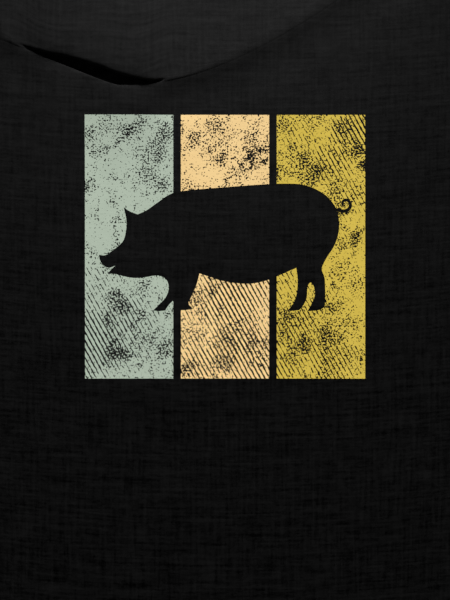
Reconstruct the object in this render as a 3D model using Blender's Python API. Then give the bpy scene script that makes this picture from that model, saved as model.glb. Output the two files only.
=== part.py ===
"""A short-sleeved crew-neck T-shirt of black cotton jersey, laid flat on its back, face up.

The neck points to +Y, the wearer's left sleeve to +X, and Z = 0 is the surface that the shirt lies on.
Each panel is laid out flat by its cutting sizes, and drape() then lifts every point of the front, which holds
the slumped fold across the chest and the softer folds round it. Sizes are in metres.
"""

import math

import bmesh
import bpy
from mathutils import Vector

# Cloth: one layer of heavy jersey, the doubled rib and hems, and the clearance between touching pieces.
CLOTH = 0.0008
DOUBLED = 2 * CLOTH
GAP = 0.0003
SEAM_GAP = 0.0005
TOP_LAYER = CLOTH + GAP

# Flat sizes of a size L shirt. Drops are measured down from the high point of the shoulder.
BODY_LENGTH = 0.740
HALF_CHEST = 0.270
HALF_WAIST = 0.265
HALF_HEM = 0.268
HALF_ACROSS = 0.2225
HALF_SHOULDER = 0.235
SHOULDER_DROP = 0.045
PIT_DROP = 0.285
HEM_DEPTH = 0.022
HEM_STEP = 0.0006
HEM_WAVE = 0.003

# Neck: the seam of the rib band, its width, and how far the front of it stands off the back.
NECK_HALF = 0.100
FRONT_NECK_DROP = 0.105
BACK_NECK_DROP = 0.022
NECK_STEPS = 24
NECK_RISE = 0.0050
NECK_SIDE_LIFT = 0.0018
BAND_WIDTH = 0.020
BAND_SIDE_LIFT = 0.008
TAPE = 0.0005
TAPE_WIDTH = 0.010
TAPE_REACH = 0.097
LABEL_WIDTH = 0.034
LABEL_DROP = 0.020

SLEEVE_LENGTH = 0.220
SLEEVE_ANGLE = math.radians(25)
CUFF_WIDTH = 0.192
CUFF_SLANT = math.radians(6)

# The high point of the shoulder, set so that the middle of the shirt's length is at Y = 0.
SHOULDER_Y = (BODY_LENGTH - BAND_SIDE_LIFT) / 2
HEM_Y = SHOULDER_Y - BODY_LENGTH
PIT_Y = SHOULDER_Y - PIT_DROP
SLEEVE_TOP_Y = SHOULDER_Y - SHOULDER_DROP

# The slumped fold runs from the right armhole, down to its lowest point and up to the left shoulder. Slope and
# rounding are given for its right side (-1) and its left side (1).
FOLD_LOW_X = -0.0956
FOLD_LOW_Y = SHOULDER_Y - 0.2050
FOLD_SLOPE = {-1: 0.42, 1: 1.0}
FOLD_ROUNDING = {-1: 0.0042, 1: 0.2136}
FOLD_EASE_X = 0.100
FOLD_EASE = 1.5
# The fold's section from the hem side to the neck side, in millimetres: way along the cloth, way over the
# ground while shut, share of the gape that is added to it, height, and then way over the ground and height
# again where it is only a crease.
FOLD_SECTION = (
    (-120.0, -120.0, 0.0, 0.0, -120.0, 0.0),
    (-70.0, -70.0, 0.0, 1.0, -70.0, 0.9),
    (-42.0, -42.0, 0.0, 3.0, -42.0, 1.9),
    (-26.0, -26.0, 0.0, 4.6, -26.0, 1.8),
    (-16.0, -16.0, 0.0, 5.5, -16.0, 3.0),
    (-9.0, -9.0, 0.0, 5.9, -9.0, 4.6),
    (-5.0, -5.0, 0.0, 6.0, -5.0, 5.9),
    (-2.4, -2.4, 0.0, 5.95, -2.4, 6.7),
    (-1.0, -1.05, 0.0, 5.75, -1.0, 7.1),
    (0.0, -0.3, 0.0, 5.15, -0.1, 7.3),
    (1.0, -0.1, 0.0, 4.2, 0.1, 7.45),
    (2.5, -0.6, 0.0, 2.9, 0.3, 7.6),
    (4.5, -1.8, 0.0, 1.2, 0.5, 7.75),
    (6.0, -2.3, 0.0, 0.45, 0.7, 7.85),
    (9.0, -0.2, 0.2, 0.4, 1.0, 8.0),
    (13.0, 3.4, 0.6, 0.4, 1.5, 8.1),
    (15.5, 5.6, 0.9, 0.8, 1.9, 8.15),
    (17.0, 6.1, 1.0, 2.0, 2.1, 8.1),
    (19.5, 4.9, 1.0, 4.4, 2.6, 8.05),
    (21.7, 3.3, 1.0, 6.3, 3.0, 8.0),
    (23.4, 2.3, 1.0, 8.0, 3.4, 7.9),
    (24.8, 2.4, 1.0, 9.7, 3.8, 7.8),
    (26.2, 3.6, 1.0, 10.8, 4.5, 7.7),
    (28.5, 5.9, 1.0, 11.4, 6.0, 7.4),
    (34.0, 11.4, 1.0, 11.8, 11.4, 6.7),
    (50.0, 27.4, 1.0, 11.2, 27.4, 4.7),
    (80.0, 57.4, 1.0, 8.4, 57.4, 2.3),
    (120.0, 97.4, 1.0, 4.2, 97.4, 0.8),
    (160.0, 137.4, 1.0, 0.9, 137.4, 0.2),
    (190.0, 167.4, 1.0, 0.0, 167.4, 0.0),
)
# Along the fold from the right, in millimetres: place, width of the gape, and how much of the cloth that the
# fold takes up where deep is let out again, which happens within FOLD_LET_OUT of its lip.
FOLD_ALONG = (
    (-215.0, 0.0, 22.6),
    (-195.0, 0.0, 22.2),
    (-185.0, 0.0, 19.0),
    (-168.0, 1.4, 10.0),
    (-152.0, 4.4, 3.0),
    (-138.0, 7.0, 0.4),
    (-120.0, 9.0, 0.4),
    (-106.0, 10.0, 0.4),
    (-95.0, 8.2, 1.6),
    (-85.0, 5.0, 5.0),
    (-76.0, 2.0, 10.0),
    (-66.0, 0.2, 16.0),
    (-58.0, 0.0, 20.0),
    (-46.0, 0.0, 22.6),
    (300.0, 0.0, 22.6),
)
FOLD_LET_OUT = 0.007
# Where the fold flattens into a crease, and where the crease is no more than a swell, on the right and the left.
CREASES = ((-0.158, -0.193), (-0.078, -0.052))
CREASE_ENDS = ((-0.190, -0.215), (-0.045, 0.025))
# Ways along the cloth at which the fold is drawn, from its lip towards the neck.
FOLD_ROWS = (0.0010, 0.0045, 0.0090, 0.0155, 0.0195, 0.0234, 0.0262, 0.0300, 0.0420)
# How far from a seam the cloth is free of it.
SEAM_REACH = 0.030

# Softer folds of the front: start, end, half width, height.
FRONT_FOLDS = (
    ((-0.262, PIT_Y + 0.002), (-0.228, PIT_Y - 0.085), 0.010, 0.0062),
    ((-0.246, PIT_Y + 0.035), (-0.224, PIT_Y - 0.020), 0.009, 0.0040),
    ((-0.262, PIT_Y - 0.080), (-0.238, PIT_Y - 0.205), 0.012, 0.0040),
    ((0.262, PIT_Y + 0.000), (0.226, PIT_Y - 0.105), 0.011, 0.0066),
    ((0.244, PIT_Y + 0.045), (0.222, PIT_Y - 0.005), 0.009, 0.0040),
    ((0.262, PIT_Y - 0.105), (0.238, PIT_Y - 0.245), 0.012, 0.0038),
    ((-0.226, HEM_Y + 0.010), (-0.234, HEM_Y + 0.150), 0.014, 0.0036),
    ((-0.078, HEM_Y), (-0.040, HEM_Y + 0.030), 0.024, 0.0022),
    ((0.200, HEM_Y), (0.236, HEM_Y + 0.170), 0.016, 0.0036),
    ((0.146, 0.190), (0.150, -0.300), 0.042, 0.0026),
    ((-0.148, 0.160), (-0.150, -0.060), 0.030, 0.0012),
)
# Folds of a sleeve's front, in shares of its length from the body and of its width from the underarm.
SLEEVE_FOLDS = {
    1: (
        ((0.02, 0.14), (0.58, 0.62), 0.017, 0.0068),
        ((0.26, 0.04), (0.84, 0.36), 0.015, 0.0050),
        ((0.10, 0.76), (0.62, 0.86), 0.018, 0.0036),
    ),
    -1: (
        ((0.03, 0.16), (0.66, 0.54), 0.018, 0.0064),
        ((0.34, 0.04), (0.88, 0.26), 0.014, 0.0044),
        ((0.10, 0.66), (0.52, 0.88), 0.017, 0.0038),
    ),
}

# The print: three upright bars with a pig's outline left open across them.
BAR_WIDTH = 0.082
BAR_SPACE = 0.007
BAR_TOP_Y = SHOULDER_Y - 0.2318
BAR_LENGTH = 0.2447
INK = 0.0005
PIG_LENGTH = 0.222
PIG_HEIGHT = 0.118
PIG_NOSE_X = -0.117
PIG_FEET_Y = SHOULDER_Y - 0.4140
# Pieces of the print: ink, place of the bar from the middle, and the shares of its length that it covers.
# The pig cuts the middle bar in two.
BAR_PIECES = {
    "print_sage": ("ink_sage", -1, 0.0, 1.0),
    "print_peach_upper": ("ink_peach", 0, 0.0, 0.44),
    "print_peach_lower": ("ink_peach", 0, 0.44, 1.0),
    "print_mustard": ("ink_mustard", 1, 0.0, 1.0),
}
# Trunk and head, as shares of the pig's length from the nose and of its height from the feet.
TRUNK = (
    (0.15, 0.58), (0.18, 0.74), (0.26, 0.90), (0.37, 0.950), (0.52, 0.960), (0.67, 0.995),
    (0.82, 0.985), (0.93, 0.90), (0.985, 0.77), (0.998, 0.62), (0.985, 0.47), (0.90, 0.34),
    (0.74, 0.31), (0.60, 0.245), (0.46, 0.225), (0.34, 0.28), (0.24, 0.33), (0.17, 0.42),
)
HEAD = (
    (0.002, 0.455), (0.016, 0.478), (0.065, 0.520), (0.108, 0.600), (0.150, 0.700),
    (0.235, 0.800), (0.300, 0.700), (0.290, 0.480), (0.220, 0.370), (0.130, 0.335),
    (0.065, 0.336), (0.016, 0.352), (0.000, 0.385),
)
EAR = ((0.135, 0.66), (0.098, 0.840), (0.155, 0.815), (0.215, 0.77), (0.20, 0.66))
# Legs: middle and width of the top, place of the knee or hock, middle of the foot.
LEGS = {
    "fore_near": (0.330, 0.130, (0.352, 0.21), 0.350),
    "fore_far": (0.265, 0.110, (0.268, 0.20), 0.250),
    "hind_near": (0.900, 0.150, (0.948, 0.25), 0.925),
    "hind_far": (0.825, 0.130, (0.842, 0.24), 0.820),
}
LEG_TOP = 0.45
SHIN = 0.036
HOOF = 0.052
TAIL_MIDDLE = (1.024, 0.800)

# Colours and roughness.
BLACK_JERSEY = ((0.010, 0.010, 0.011), 0.85)
BLACK_RIB = ((0.012, 0.012, 0.013), 0.85)
BLACK_TAPE = ((0.020, 0.020, 0.021), 0.8)
GREY_LABEL = ((0.30, 0.30, 0.30), 0.6)
INKS = {
    "ink_sage": ((0.39, 0.46, 0.37), 0.6),
    "ink_peach": ((0.90, 0.62, 0.29), 0.6),
    "ink_mustard": ((0.60, 0.45, 0.07), 0.6),
}


def clear_scene():
    for obj in list(bpy.data.objects):
        bpy.data.objects.remove(obj)


def principled(name, colour, roughness):
    material = bpy.data.materials.new(name)
    material.use_nodes = True
    shader = material.node_tree.nodes["Principled BSDF"]
    shader.inputs["Base Color"].default_value = (*colour, 1.0)
    shader.inputs["Roughness"].default_value = roughness
    return material


def smooth(low, high, value):
    """0 at low, 1 at high and beyond, and an even S-curve between."""
    share = min(1.0, max(0.0, (value - low) / (high - low)))
    return share * share * (3 - 2 * share)


def mix(low, high, share):
    return low + (high - low) * share


def spread(start, end, count):
    """count + 1 numbers from start to end."""
    return [mix(start, end, i / count) for i in range(count + 1)]


def along(points, share):
    """The point at a share of a polyline's length."""
    lengths = [(b - a).length for a, b in zip(points, points[1:])]
    left = share * sum(lengths)
    for a, b, length in zip(points, points[1:], lengths):
        if left <= length or b is points[-1]:
            return a.lerp(b, min(1.0, left / length))
        left -= length


def shares_of(points):
    """The shares of a polyline's length at its points."""
    lengths = [(b - a).length for a, b in zip(points, points[1:])]
    return [sum(lengths[:i]) / sum(lengths) for i in range(len(points))]


def coons(bottom, top, left, right, u, v):
    """A point of the patch between four polylines. left and right run from bottom to top."""
    ruled_v = along(bottom, u).lerp(along(top, u), v)
    ruled_u = along(left, v).lerp(along(right, v), u)
    corners = bottom[0].lerp(bottom[-1], u).lerp(top[0].lerp(top[-1], u), v)
    return ruled_v + ruled_u - corners


def spline(table, at, column):
    """A smooth curve through one column of a table whose first column rises."""
    i = max(0, min(len(table) - 2, sum(row[0] <= at for row in table) - 1))
    before, start, end, after = (table[max(0, min(len(table) - 1, i + k))] for k in (-1, 0, 1, 2))
    width = end[0] - start[0]
    share = min(1.0, max(0.0, (at - start[0]) / width))
    slope_start = (end[column] - before[column]) / (end[0] - before[0]) * width
    slope_end = (after[column] - start[column]) / (after[0] - start[0]) * width
    step = smooth(0, 1, share)
    return (
        mix(start[column], end[column], step)
        + slope_start * share * (1 - share) ** 2
        - slope_end * share**2 * (1 - share)
    )


# Outlines of the flat pattern


def armhole_x(y):
    """Half the front's width at a height between the underarm point and the shoulder's end."""
    share = (y - PIT_Y) / (SLEEVE_TOP_Y - PIT_Y)
    narrow = 0.45
    below = max(0.0, 1 - share / narrow) ** 2.2
    above = max(0.0, (share - narrow) / (1 - narrow)) ** 1.6
    return (
        HALF_ACROSS
        + (HALF_CHEST - HALF_ACROSS) * below
        + (HALF_SHOULDER - HALF_ACROSS) * above
    )


def side_x(y):
    """Half the body's width below the armhole, drawn in a little at the waist."""
    share = (y - HEM_Y) / (PIT_Y - HEM_Y)
    return mix(HALF_HEM, HALF_CHEST, share) - (HALF_CHEST - HALF_WAIST) * math.sin(math.pi * share)


def edge_x(y):
    """Half the body's width at any height."""
    return side_x(y) if y < PIT_Y else armhole_x(y)


def hem_y(x):
    """The hem's edge, which lies in a slight wave and comes down to HEM_Y."""
    return HEM_Y + HEM_WAVE * (1 - math.cos(math.tau * 1.5 * (x / HALF_HEM + 0.2))) / 2


def hem_line(steps=24):
    return [Vector((x, hem_y(x), 0)) for x in spread(-HALF_HEM, HALF_HEM, steps)]


def side_line(side, low_y, high_y, steps):
    """The body's edge on one side, upwards."""
    return [Vector((side * edge_x(y), y, 0)) for y in spread(low_y, high_y, steps)]


def neckline(drop, steps=NECK_STEPS):
    """The seam of the neckband from the right shoulder to the left, as a U."""
    return [
        Vector((-NECK_HALF * math.cos(a), SHOULDER_Y - drop * math.sin(a) ** 0.85, 0))
        for a in spread(0, math.pi, steps)
    ]


def top_edge(drop, steps=5):
    """Right shoulder, neckline and left shoulder, as one line."""
    neck = neckline(drop)
    ends = [Vector((side * HALF_SHOULDER, SLEEVE_TOP_Y, 0)) for side in (-1, 1)]
    right = [ends[0].lerp(neck[0], share) for share in spread(0, 1, steps)]
    left = [neck[-1].lerp(ends[1], share) for share in spread(0, 1, steps)]
    return right + neck[1:-1] + left


def fold_y(x):
    """The slumped fold's line: nearly straight either side of its low point, and easing at the left shoulder."""
    side = 1 if x > FOLD_LOW_X else -1
    rounding = FOLD_ROUNDING[side]
    eased = FOLD_EASE * max(0.0, x - FOLD_EASE_X) ** 2
    return FOLD_LOW_Y + math.hypot(rounding, FOLD_SLOPE[side] * (x - FOLD_LOW_X)) - rounding - eased


def fold_end(side):
    """Where the fold's line meets an armhole."""
    for y in spread(PIT_Y, SLEEVE_TOP_Y, 400):
        if y >= fold_y(side * armhole_x(y)):
            return Vector((side * armhole_x(y), y, 0))


# Lie of the cloth


def ridge(point, start, end, half_width):
    """1 on the line from start to end, falling to 0 away from it, and tapered at its two ends."""
    start, end = Vector(start), Vector(end)
    way = end - start
    share = (point - start).dot(way) / way.length_squared
    away = (point - start.lerp(end, min(1.0, max(0.0, share)))).length
    taper = smooth(-0.25, 0.25, share) * smooth(1.25, 0.6, share)
    return taper * math.exp(-((away / half_width) ** 2))


def neck_lift(x):
    """How far the front's upper edge is lifted over the back's neckband and tape."""
    beside = smooth(NECK_HALF + 0.045, NECK_HALF, abs(x))
    return NECK_SIDE_LIFT * beside + NECK_RISE * max(0.0, 1 - (x / NECK_HALF) ** 2)


def fold_section(x, way):
    """How far the slumped fold shifts and lifts the cloth, at a way along it from the fold's lip."""
    crease, gone = (max(smooth(start, end, x) for start, end in places) for places in (CREASES, CREASE_ENDS))
    gape, let_out = (spline(FOLD_ALONG, x * 1000, column) for column in (1, 2))
    let_out *= 1 - math.exp(-max(0.0, way) / FOLD_LET_OUT)
    at = max(FOLD_SECTION[0][0], min(FOLD_SECTION[-1][0], way * 1000 + let_out))
    over, share, height, flat_over, flat_height = (spline(FOLD_SECTION, at, c) for c in (1, 2, 3, 4, 5))
    shift = mix(over, flat_over, crease) - at + let_out + gape * share
    shift *= smooth(0.160, 0.045, way) * (1 - gone)
    return shift / 1000, mix(height, flat_height, crease) / 1000


def drape(x, y, to_top):
    """A point of the front's inner face over the flat place (x, y), to_top away from the upper edge."""
    slope = (fold_y(x + 0.001) - fold_y(x - 0.001)) / 0.002
    upright = 1 / math.hypot(1, slope)
    way = (y - fold_y(x)) * upright
    shift, height = fold_section(x, way)
    height += sum(h * ridge(Vector((x, y)), a, b, w) for a, b, w, h in FRONT_FOLDS)
    to_side = max(0.0, edge_x(y) - abs(x))
    off_side = smooth(0, SEAM_REACH, to_side)
    off_top = smooth(0, SEAM_REACH, to_top)
    # The cloth is held down along the side seams, and by the underarm and shoulder ends of the armhole.
    armhole = smooth(PIT_Y, PIT_Y + 0.050, y) * smooth(SLEEVE_TOP_Y, SLEEVE_TOP_Y - 0.050, y)
    free = off_top * mix(mix(0.0, 0.55, armhole), 1.0, off_side)
    shift *= off_side * off_top
    lift = neck_lift(x) * (1 - off_top)
    return Vector(
        (x - slope * upright * shift, y + upright * shift, TOP_LAYER + lift + height * free)
    )


# Solids


def finish(name, bm, material):
    """An object of this mesh, with all its faces turned outwards."""
    bmesh.ops.recalc_face_normals(bm, faces=bm.faces)
    mesh = bpy.data.meshes.new(name)
    bm.to_mesh(mesh)
    bm.free()
    mesh.materials.append(material)
    obj = bpy.data.objects.new(name, mesh)
    bpy.context.scene.collection.objects.link(obj)
    return obj


def face_normals(rows):
    """A unit normal for each point of a grid, upright along its edges, so that neighbours meet wall to wall."""
    normals = [[Vector((0, 0, 1)) for _ in row] for row in rows]
    inside = [(r, c) for r in range(1, len(rows) - 1) for c in range(1, len(rows[0]) - 1)]
    for r, c in inside:
        across = rows[r][c + 1] - rows[r][c - 1]
        normals[r][c] = across.cross(rows[r - 1][c] - rows[r + 1][c]).normalized()
    if sum(normals[r][c].z for r, c in inside) < 0:
        for r, c in inside:
            normals[r][c].negate()
    return normals


def sheet(name, rows, material, thickness, doubled_rows=0, base=0.0):
    """A sheet with its lower face at height base over rows of points, the last doubled_rows of them twice as thick."""
    bm = bmesh.new()
    lower, upper = [], []
    for r, (points, normals) in enumerate(zip(rows, face_normals(rows))):
        depth = base + thickness * (2 if r >= len(rows) - doubled_rows else 1)
        lower.append([bm.verts.new(p + base * n) for p, n in zip(points, normals)])
        upper.append([bm.verts.new(p + depth * n) for p, n in zip(points, normals)])
    for grid in (lower, upper):
        for above, below in zip(grid, grid[1:]):
            for c in range(len(above) - 1):
                bm.faces.new((above[c], above[c + 1], below[c + 1], below[c]))
    low, high = (
        [*grid[0], *(row[-1] for row in grid[1:-1]), *grid[-1][::-1], *(row[0] for row in grid[-2:0:-1])]
        for grid in (lower, upper)
    )
    for i in range(len(low)):
        bm.faces.new((low[i - 1], low[i], high[i], high[i - 1]))
    return finish(name, bm, material)


def slab(name, outline, material, low, thickness):
    """A flat sheet with this outline, its lower face at height low."""
    bm = bmesh.new()
    face = bm.faces.new([bm.verts.new((p.x, p.y, low)) for p in outline])
    made = bmesh.ops.extrude_face_region(bm, geom=[face])
    raised = [item for item in made["geom"] if isinstance(item, bmesh.types.BMVert)]
    bmesh.ops.translate(bm, verts=raised, vec=(0, 0, thickness))
    return finish(name, bm, material)


# Body


def front_rows(low_rows=20, high_rows=7):
    """Rows of points from the neck down to the fold's lip, and from there down to the hem."""
    ends = {side: fold_end(side) for side in (-1, 1)}
    line = [Vector((x, fold_y(x), 0)) for x in spread(ends[-1].x, ends[1].x, 60)]
    line[0], line[-1] = ends[-1], ends[1]
    top, hem = top_edge(FRONT_NECK_DROP), hem_line()
    lower = [side_line(side, hem_y(side * HALF_HEM), ends[side].y, 60) for side in (-1, 1)]
    upper = [side_line(side, ends[side].y, SLEEVE_TOP_Y, 20) for side in (-1, 1)]
    shares = shares_of(top)
    high, low = [], []
    for i in range(high_rows + len(FOLD_ROWS), 0, -1):
        row = []
        for u in shares:
            height = (along(top, u) - along(line, u)).length
            near = min(FOLD_ROWS[-1], height / 2)
            if i > len(FOLD_ROWS):
                away = mix(near, height, ((i - len(FOLD_ROWS)) / high_rows) ** 1.2)
            else:
                away = near * FOLD_ROWS[i - 1] / FOLD_ROWS[-1]
            p = coons(line, top, *upper, u, away / height)
            row.append(drape(p.x, p.y, height - away))
        high.append(row)
    for i in range(low_rows + 3):
        row = []
        for u in shares:
            height = (along(line, u) - along(hem, u)).length
            body = height - HEM_DEPTH - HEM_STEP
            s = min(1.0, i / low_rows)
            near = 0.08
            away = near * s**1.6 + (body - near) * s**2.2
            away += {low_rows + 1: HEM_STEP, low_rows + 2: HEM_DEPTH + HEM_STEP}.get(i, 0.0)
            p = coons(hem, line, *lower, u, 1 - away / height)
            row.append(drape(p.x, p.y, SHOULDER_Y - p.y))
        low.append(row)
    return high, low


def side_edge(rows, side):
    """The front's points along one side, from the hem up to the shoulder."""
    return [row[-1 if side > 0 else 0] for row in reversed(rows)]


def make_body(jersey, front):
    sheet("front_panel", front, jersey, CLOTH, doubled_rows=2)
    neck = neckline(BACK_NECK_DROP)[::-1]
    outline = hem_line() + side_edge(front, 1)[1:] + neck + side_edge(front, -1)[:0:-1]
    slab("back_panel", outline, jersey, 0.0, CLOTH)


# Sleeves


def sleeve_edges(side, edge):
    """Armhole seam, cuff, underarm line and shoulder line of a sleeve, clear of the body's edge by the gap."""
    above = next(i for i, p in enumerate(edge) if p.y > PIT_Y + 0.002)
    share = (PIT_Y - edge[above - 1].y) / (edge[above].y - edge[above - 1].y)
    pit = edge[above - 1].lerp(edge[above], share)
    seam = [p + Vector((side * SEAM_GAP, 0, 0)) for p in (pit, *edge[above:])]
    out = Vector((side * math.cos(SLEEVE_ANGLE), -math.sin(SLEEVE_ANGLE), 0))
    across = SLEEVE_ANGLE + CUFF_SLANT
    down = Vector((-side * math.sin(across), -math.cos(across), 0))
    cuff_top = seam[-1] + out * SLEEVE_LENGTH
    cuff_low = cuff_top + down * CUFF_WIDTH
    return seam, [cuff_low, cuff_top], [seam[0], cuff_low], [seam[-1], cuff_top]


def make_sleeve(side, name, jersey, front, columns=12):
    """The back lies flat. The front carries on the folds of the body and has its own."""
    seam, cuff, underarm, shoulder = sleeve_edges(side, side_edge(front, side))
    slab(f"{name}_back", seam + [cuff[1], cuff[0]], jersey, 0.0, CLOTH)
    length = (cuff[0] + cuff[1] - seam[0] - seam[-1]).length / 2
    hem, step = HEM_DEPTH / length, HEM_STEP / length
    rows = []
    for v in (*spread(0, 1 - hem - step, columns), 1 - hem, 1):
        row = []
        for u in shares_of(seam):
            p = coons(underarm, shoulder, seam, cuff, v, u)
            off_edge = smooth(0, SEAM_REACH, min(u, 1 - u) * CUFF_WIDTH)
            off_seam = smooth(0, SEAM_REACH, v * length)
            place = Vector((v * SLEEVE_LENGTH, u * CUFF_WIDTH))
            height = 0.0
            for start, end, half_width, tall in SLEEVE_FOLDS[side]:
                a, b = ((w * SLEEVE_LENGTH, t * CUFF_WIDTH) for w, t in (start, end))
                height += tall * ridge(place, a, b, half_width)
            carried = (along(seam, u).z - TOP_LAYER) * smooth(0.55, 0, v)
            height *= off_edge * off_seam * smooth(1.12, 0.86, v)
            row.append(Vector((p.x, p.y, TOP_LAYER + carried + height)))
        rows.append(row)
    sheet(f"{name}_front", rows, jersey, CLOTH, doubled_rows=2)


# Neck


def band_point(angle, across, drop, front):
    """A point of the neckband's lower face: angle runs from side to side, across from seam to free edge."""
    sine = math.sin(angle) ** 0.85
    seam = Vector((-NECK_HALF * math.cos(angle), SHOULDER_Y - drop * sine, 0))
    inner = NECK_HALF - BAND_WIDTH * abs(math.cos(angle))
    rise = BAND_SIDE_LIFT * (1 - sine) + BAND_WIDTH * sine
    free = Vector((-inner * math.cos(angle), seam.y + rise, 0))
    p = (seam + 1.5 * GAP * (free - seam).normalized()).lerp(free, across)
    if front:
        p.z = TOP_LAYER + neck_lift(seam.x) * (1 + 0.15 * across * sine)
    return p


def make_neck(rib, tape, label):
    for name, drop, front in (
        ("neckband_front", FRONT_NECK_DROP, True),
        ("neckband_back", BACK_NECK_DROP, False),
    ):
        rows = [
            [band_point(a, across, drop, front) for a in spread(0, math.pi, NECK_STEPS)]
            for across in spread(0, 1, 3)
        ]
        sheet(name, rows, rib, DOUBLED)
    # The tape covers the back seam, so it steps up from the panel on to the thicker band.
    line = [p for p in neckline(BACK_NECK_DROP) if abs(p.x) < TAPE_REACH]
    section = (
        (-TAPE_WIDTH / 2, TOP_LAYER),
        (-GAP, DOUBLED + GAP),
        (TAPE_WIDTH / 2, DOUBLED + GAP),
    )
    rows = [[Vector((p.x, p.y + off, z)) for p in line] for off, z in section]
    sheet("neck_tape", rows, tape, TAPE)
    top_y = SHOULDER_Y - BACK_NECK_DROP - TAPE_WIDTH / 2 - GAP
    outline = [
        Vector((a * LABEL_WIDTH / 2, top_y - b * LABEL_DROP, 0))
        for a, b in ((-1, 0), (1, 0), (1, 1), (-1, 1))
    ]
    slab("neck_label", outline, label, TOP_LAYER, TAPE)


# Print


def cutter(name, outline):
    """A closed upright block with this outline, tall enough to pass through the cloth."""
    low, tall = -0.01, 0.06
    block = slab(f"cutter_{name}", outline, None, low, tall)
    block.hide_render = True
    block.display_type = "WIRE"
    return block


def rounded(points, steps=5):
    """A closed smooth line through these points."""
    out = []
    for i in range(len(points)):
        a, b, c, d = (points[(i + k) % len(points)] for k in (-1, 0, 1, 2))
        for s in spread(0, 1, steps)[:-1]:
            bend = (2 * a - 5 * b + 4 * c - d) * s**2 + (3 * b - a - 3 * c + d) * s**3
            out.append((2 * b + (c - a) * s + bend) / 2)
    return out


def on_shirt(points):
    """From shares of the pig's length and height to its place on the shirt."""
    return [
        Vector((PIG_NOSE_X + x * PIG_LENGTH, PIG_FEET_Y + y * PIG_HEIGHT, 0)) for x, y in points
    ]


def leg_outline(top_x, top_width, knee, foot_x):
    """A wide top, a narrow shin and a hoof that reaches forwards."""
    knee_x, knee_y = knee
    ankle_y = 0.085
    return [
        (top_x - top_width / 2, LEG_TOP),
        (knee_x - SHIN * 0.65, knee_y),
        (foot_x - SHIN / 2, ankle_y),
        (foot_x - HOOF * 0.62, 0.0),
        (foot_x + HOOF * 0.30, 0.0),
        (foot_x + SHIN / 2, ankle_y),
        (knee_x + SHIN * 0.65, knee_y),
        (top_x + top_width / 2, LEG_TOP),
    ]


def tail_outline():
    """A little more than one turn of a curl, thinner towards its tip."""
    squash = PIG_LENGTH / PIG_HEIGHT
    outer, inner = [], []
    for share in spread(0, 1, 22):
        turn = math.radians(200 + 410 * share)
        radius = 0.011 + 0.034 * (1 - share) ** 1.5
        half = 0.0080 - 0.0045 * share
        for line, r in ((outer, radius + half), (inner, radius - half)):
            line.append(
                (TAIL_MIDDLE[0] + r * math.cos(turn), TAIL_MIDDLE[1] + squash * r * math.sin(turn))
            )
    return outer + inner[::-1]


def pig_cutter():
    """The pig's outline as one block: trunk, head, ear, four legs and tail, joined."""
    outlines = {
        "trunk": rounded(on_shirt(TRUNK)),
        "head": rounded(on_shirt(HEAD)),
        "ear": on_shirt(EAR),
        "tail": on_shirt(tail_outline()),
        **{name: on_shirt(leg_outline(*sizes)) for name, sizes in LEGS.items()},
    }
    whole, *others = (cutter(name, outline) for name, outline in outlines.items())
    for other in others:
        join = whole.modifiers.new("join", "BOOLEAN")
        join.operation = "UNION"
        join.object = other
    return whole


def make_print(below_fold):
    """Ink that follows the front's faces, cut to the bars and then to the pig's outline."""
    pig = pig_cutter()
    inks = {name: principled(name, *look) for name, look in INKS.items()}
    for name, (ink, place, start, end) in BAR_PIECES.items():
        middle = place * (BAR_WIDTH + BAR_SPACE)
        corners = [
            Vector((middle + side * BAR_WIDTH / 2, BAR_TOP_Y - BAR_LENGTH * share, 0))
            for side, share in ((-1, end), (1, end), (1, start), (-1, start))
        ]
        bar = sheet(name, below_fold, inks[ink], INK, base=CLOTH + GAP)
        for operation, block in (("INTERSECT", cutter(name, corners)), ("DIFFERENCE", pig)):
            cut = bar.modifiers.new(operation.lower(), "BOOLEAN")
            cut.operation = operation
            cut.object = block


def main():
    clear_scene()
    jersey = principled("black_jersey", *BLACK_JERSEY)
    above_fold, below_fold = front_rows()
    front = above_fold + below_fold
    make_body(jersey, front)
    make_sleeve(1, "sleeve_left", jersey, front)
    make_sleeve(-1, "sleeve_right", jersey, front)
    make_neck(
        principled("black_rib", *BLACK_RIB),
        principled("black_tape", *BLACK_TAPE),
        principled("grey_label", *GREY_LABEL),
    )
    make_print(below_fold[:-2])


main()
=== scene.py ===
"""A black cotton T-shirt laid flat on its back on a pale table, seen from straight above its chest.

+Y points to the neck, +X to the wearer's left sleeve and +Z up out of the shirt's front. Sizes are in
metres, apart from the tables that say millimetres.
"""

import math

import bpy
import numpy as np
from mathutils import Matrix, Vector, noise
from mathutils.bvhtree import BVHTree


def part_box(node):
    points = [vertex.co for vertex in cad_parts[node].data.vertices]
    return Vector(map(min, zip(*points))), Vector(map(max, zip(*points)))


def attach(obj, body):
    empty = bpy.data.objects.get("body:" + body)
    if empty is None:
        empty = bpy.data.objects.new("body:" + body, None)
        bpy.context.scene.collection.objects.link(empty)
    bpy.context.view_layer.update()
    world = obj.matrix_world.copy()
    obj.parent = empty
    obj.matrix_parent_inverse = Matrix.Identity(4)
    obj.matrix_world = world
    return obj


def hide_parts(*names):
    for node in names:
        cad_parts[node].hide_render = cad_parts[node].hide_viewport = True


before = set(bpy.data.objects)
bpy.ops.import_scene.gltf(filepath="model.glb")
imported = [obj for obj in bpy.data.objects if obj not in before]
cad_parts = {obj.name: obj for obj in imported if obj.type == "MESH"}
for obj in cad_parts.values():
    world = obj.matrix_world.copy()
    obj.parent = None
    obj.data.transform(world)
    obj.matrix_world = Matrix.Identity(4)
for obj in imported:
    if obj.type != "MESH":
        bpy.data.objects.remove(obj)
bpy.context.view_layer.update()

# Front panel
#
# One layer of cotton jersey, cut to a size L and sewn along its shoulders, armholes and sides. It slumps
# into one deep fold across the chest, gaping on the right and running out as a crease towards the left
# shoulder, and it is drawn into softer folds at the armpits and along the hem.

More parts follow.
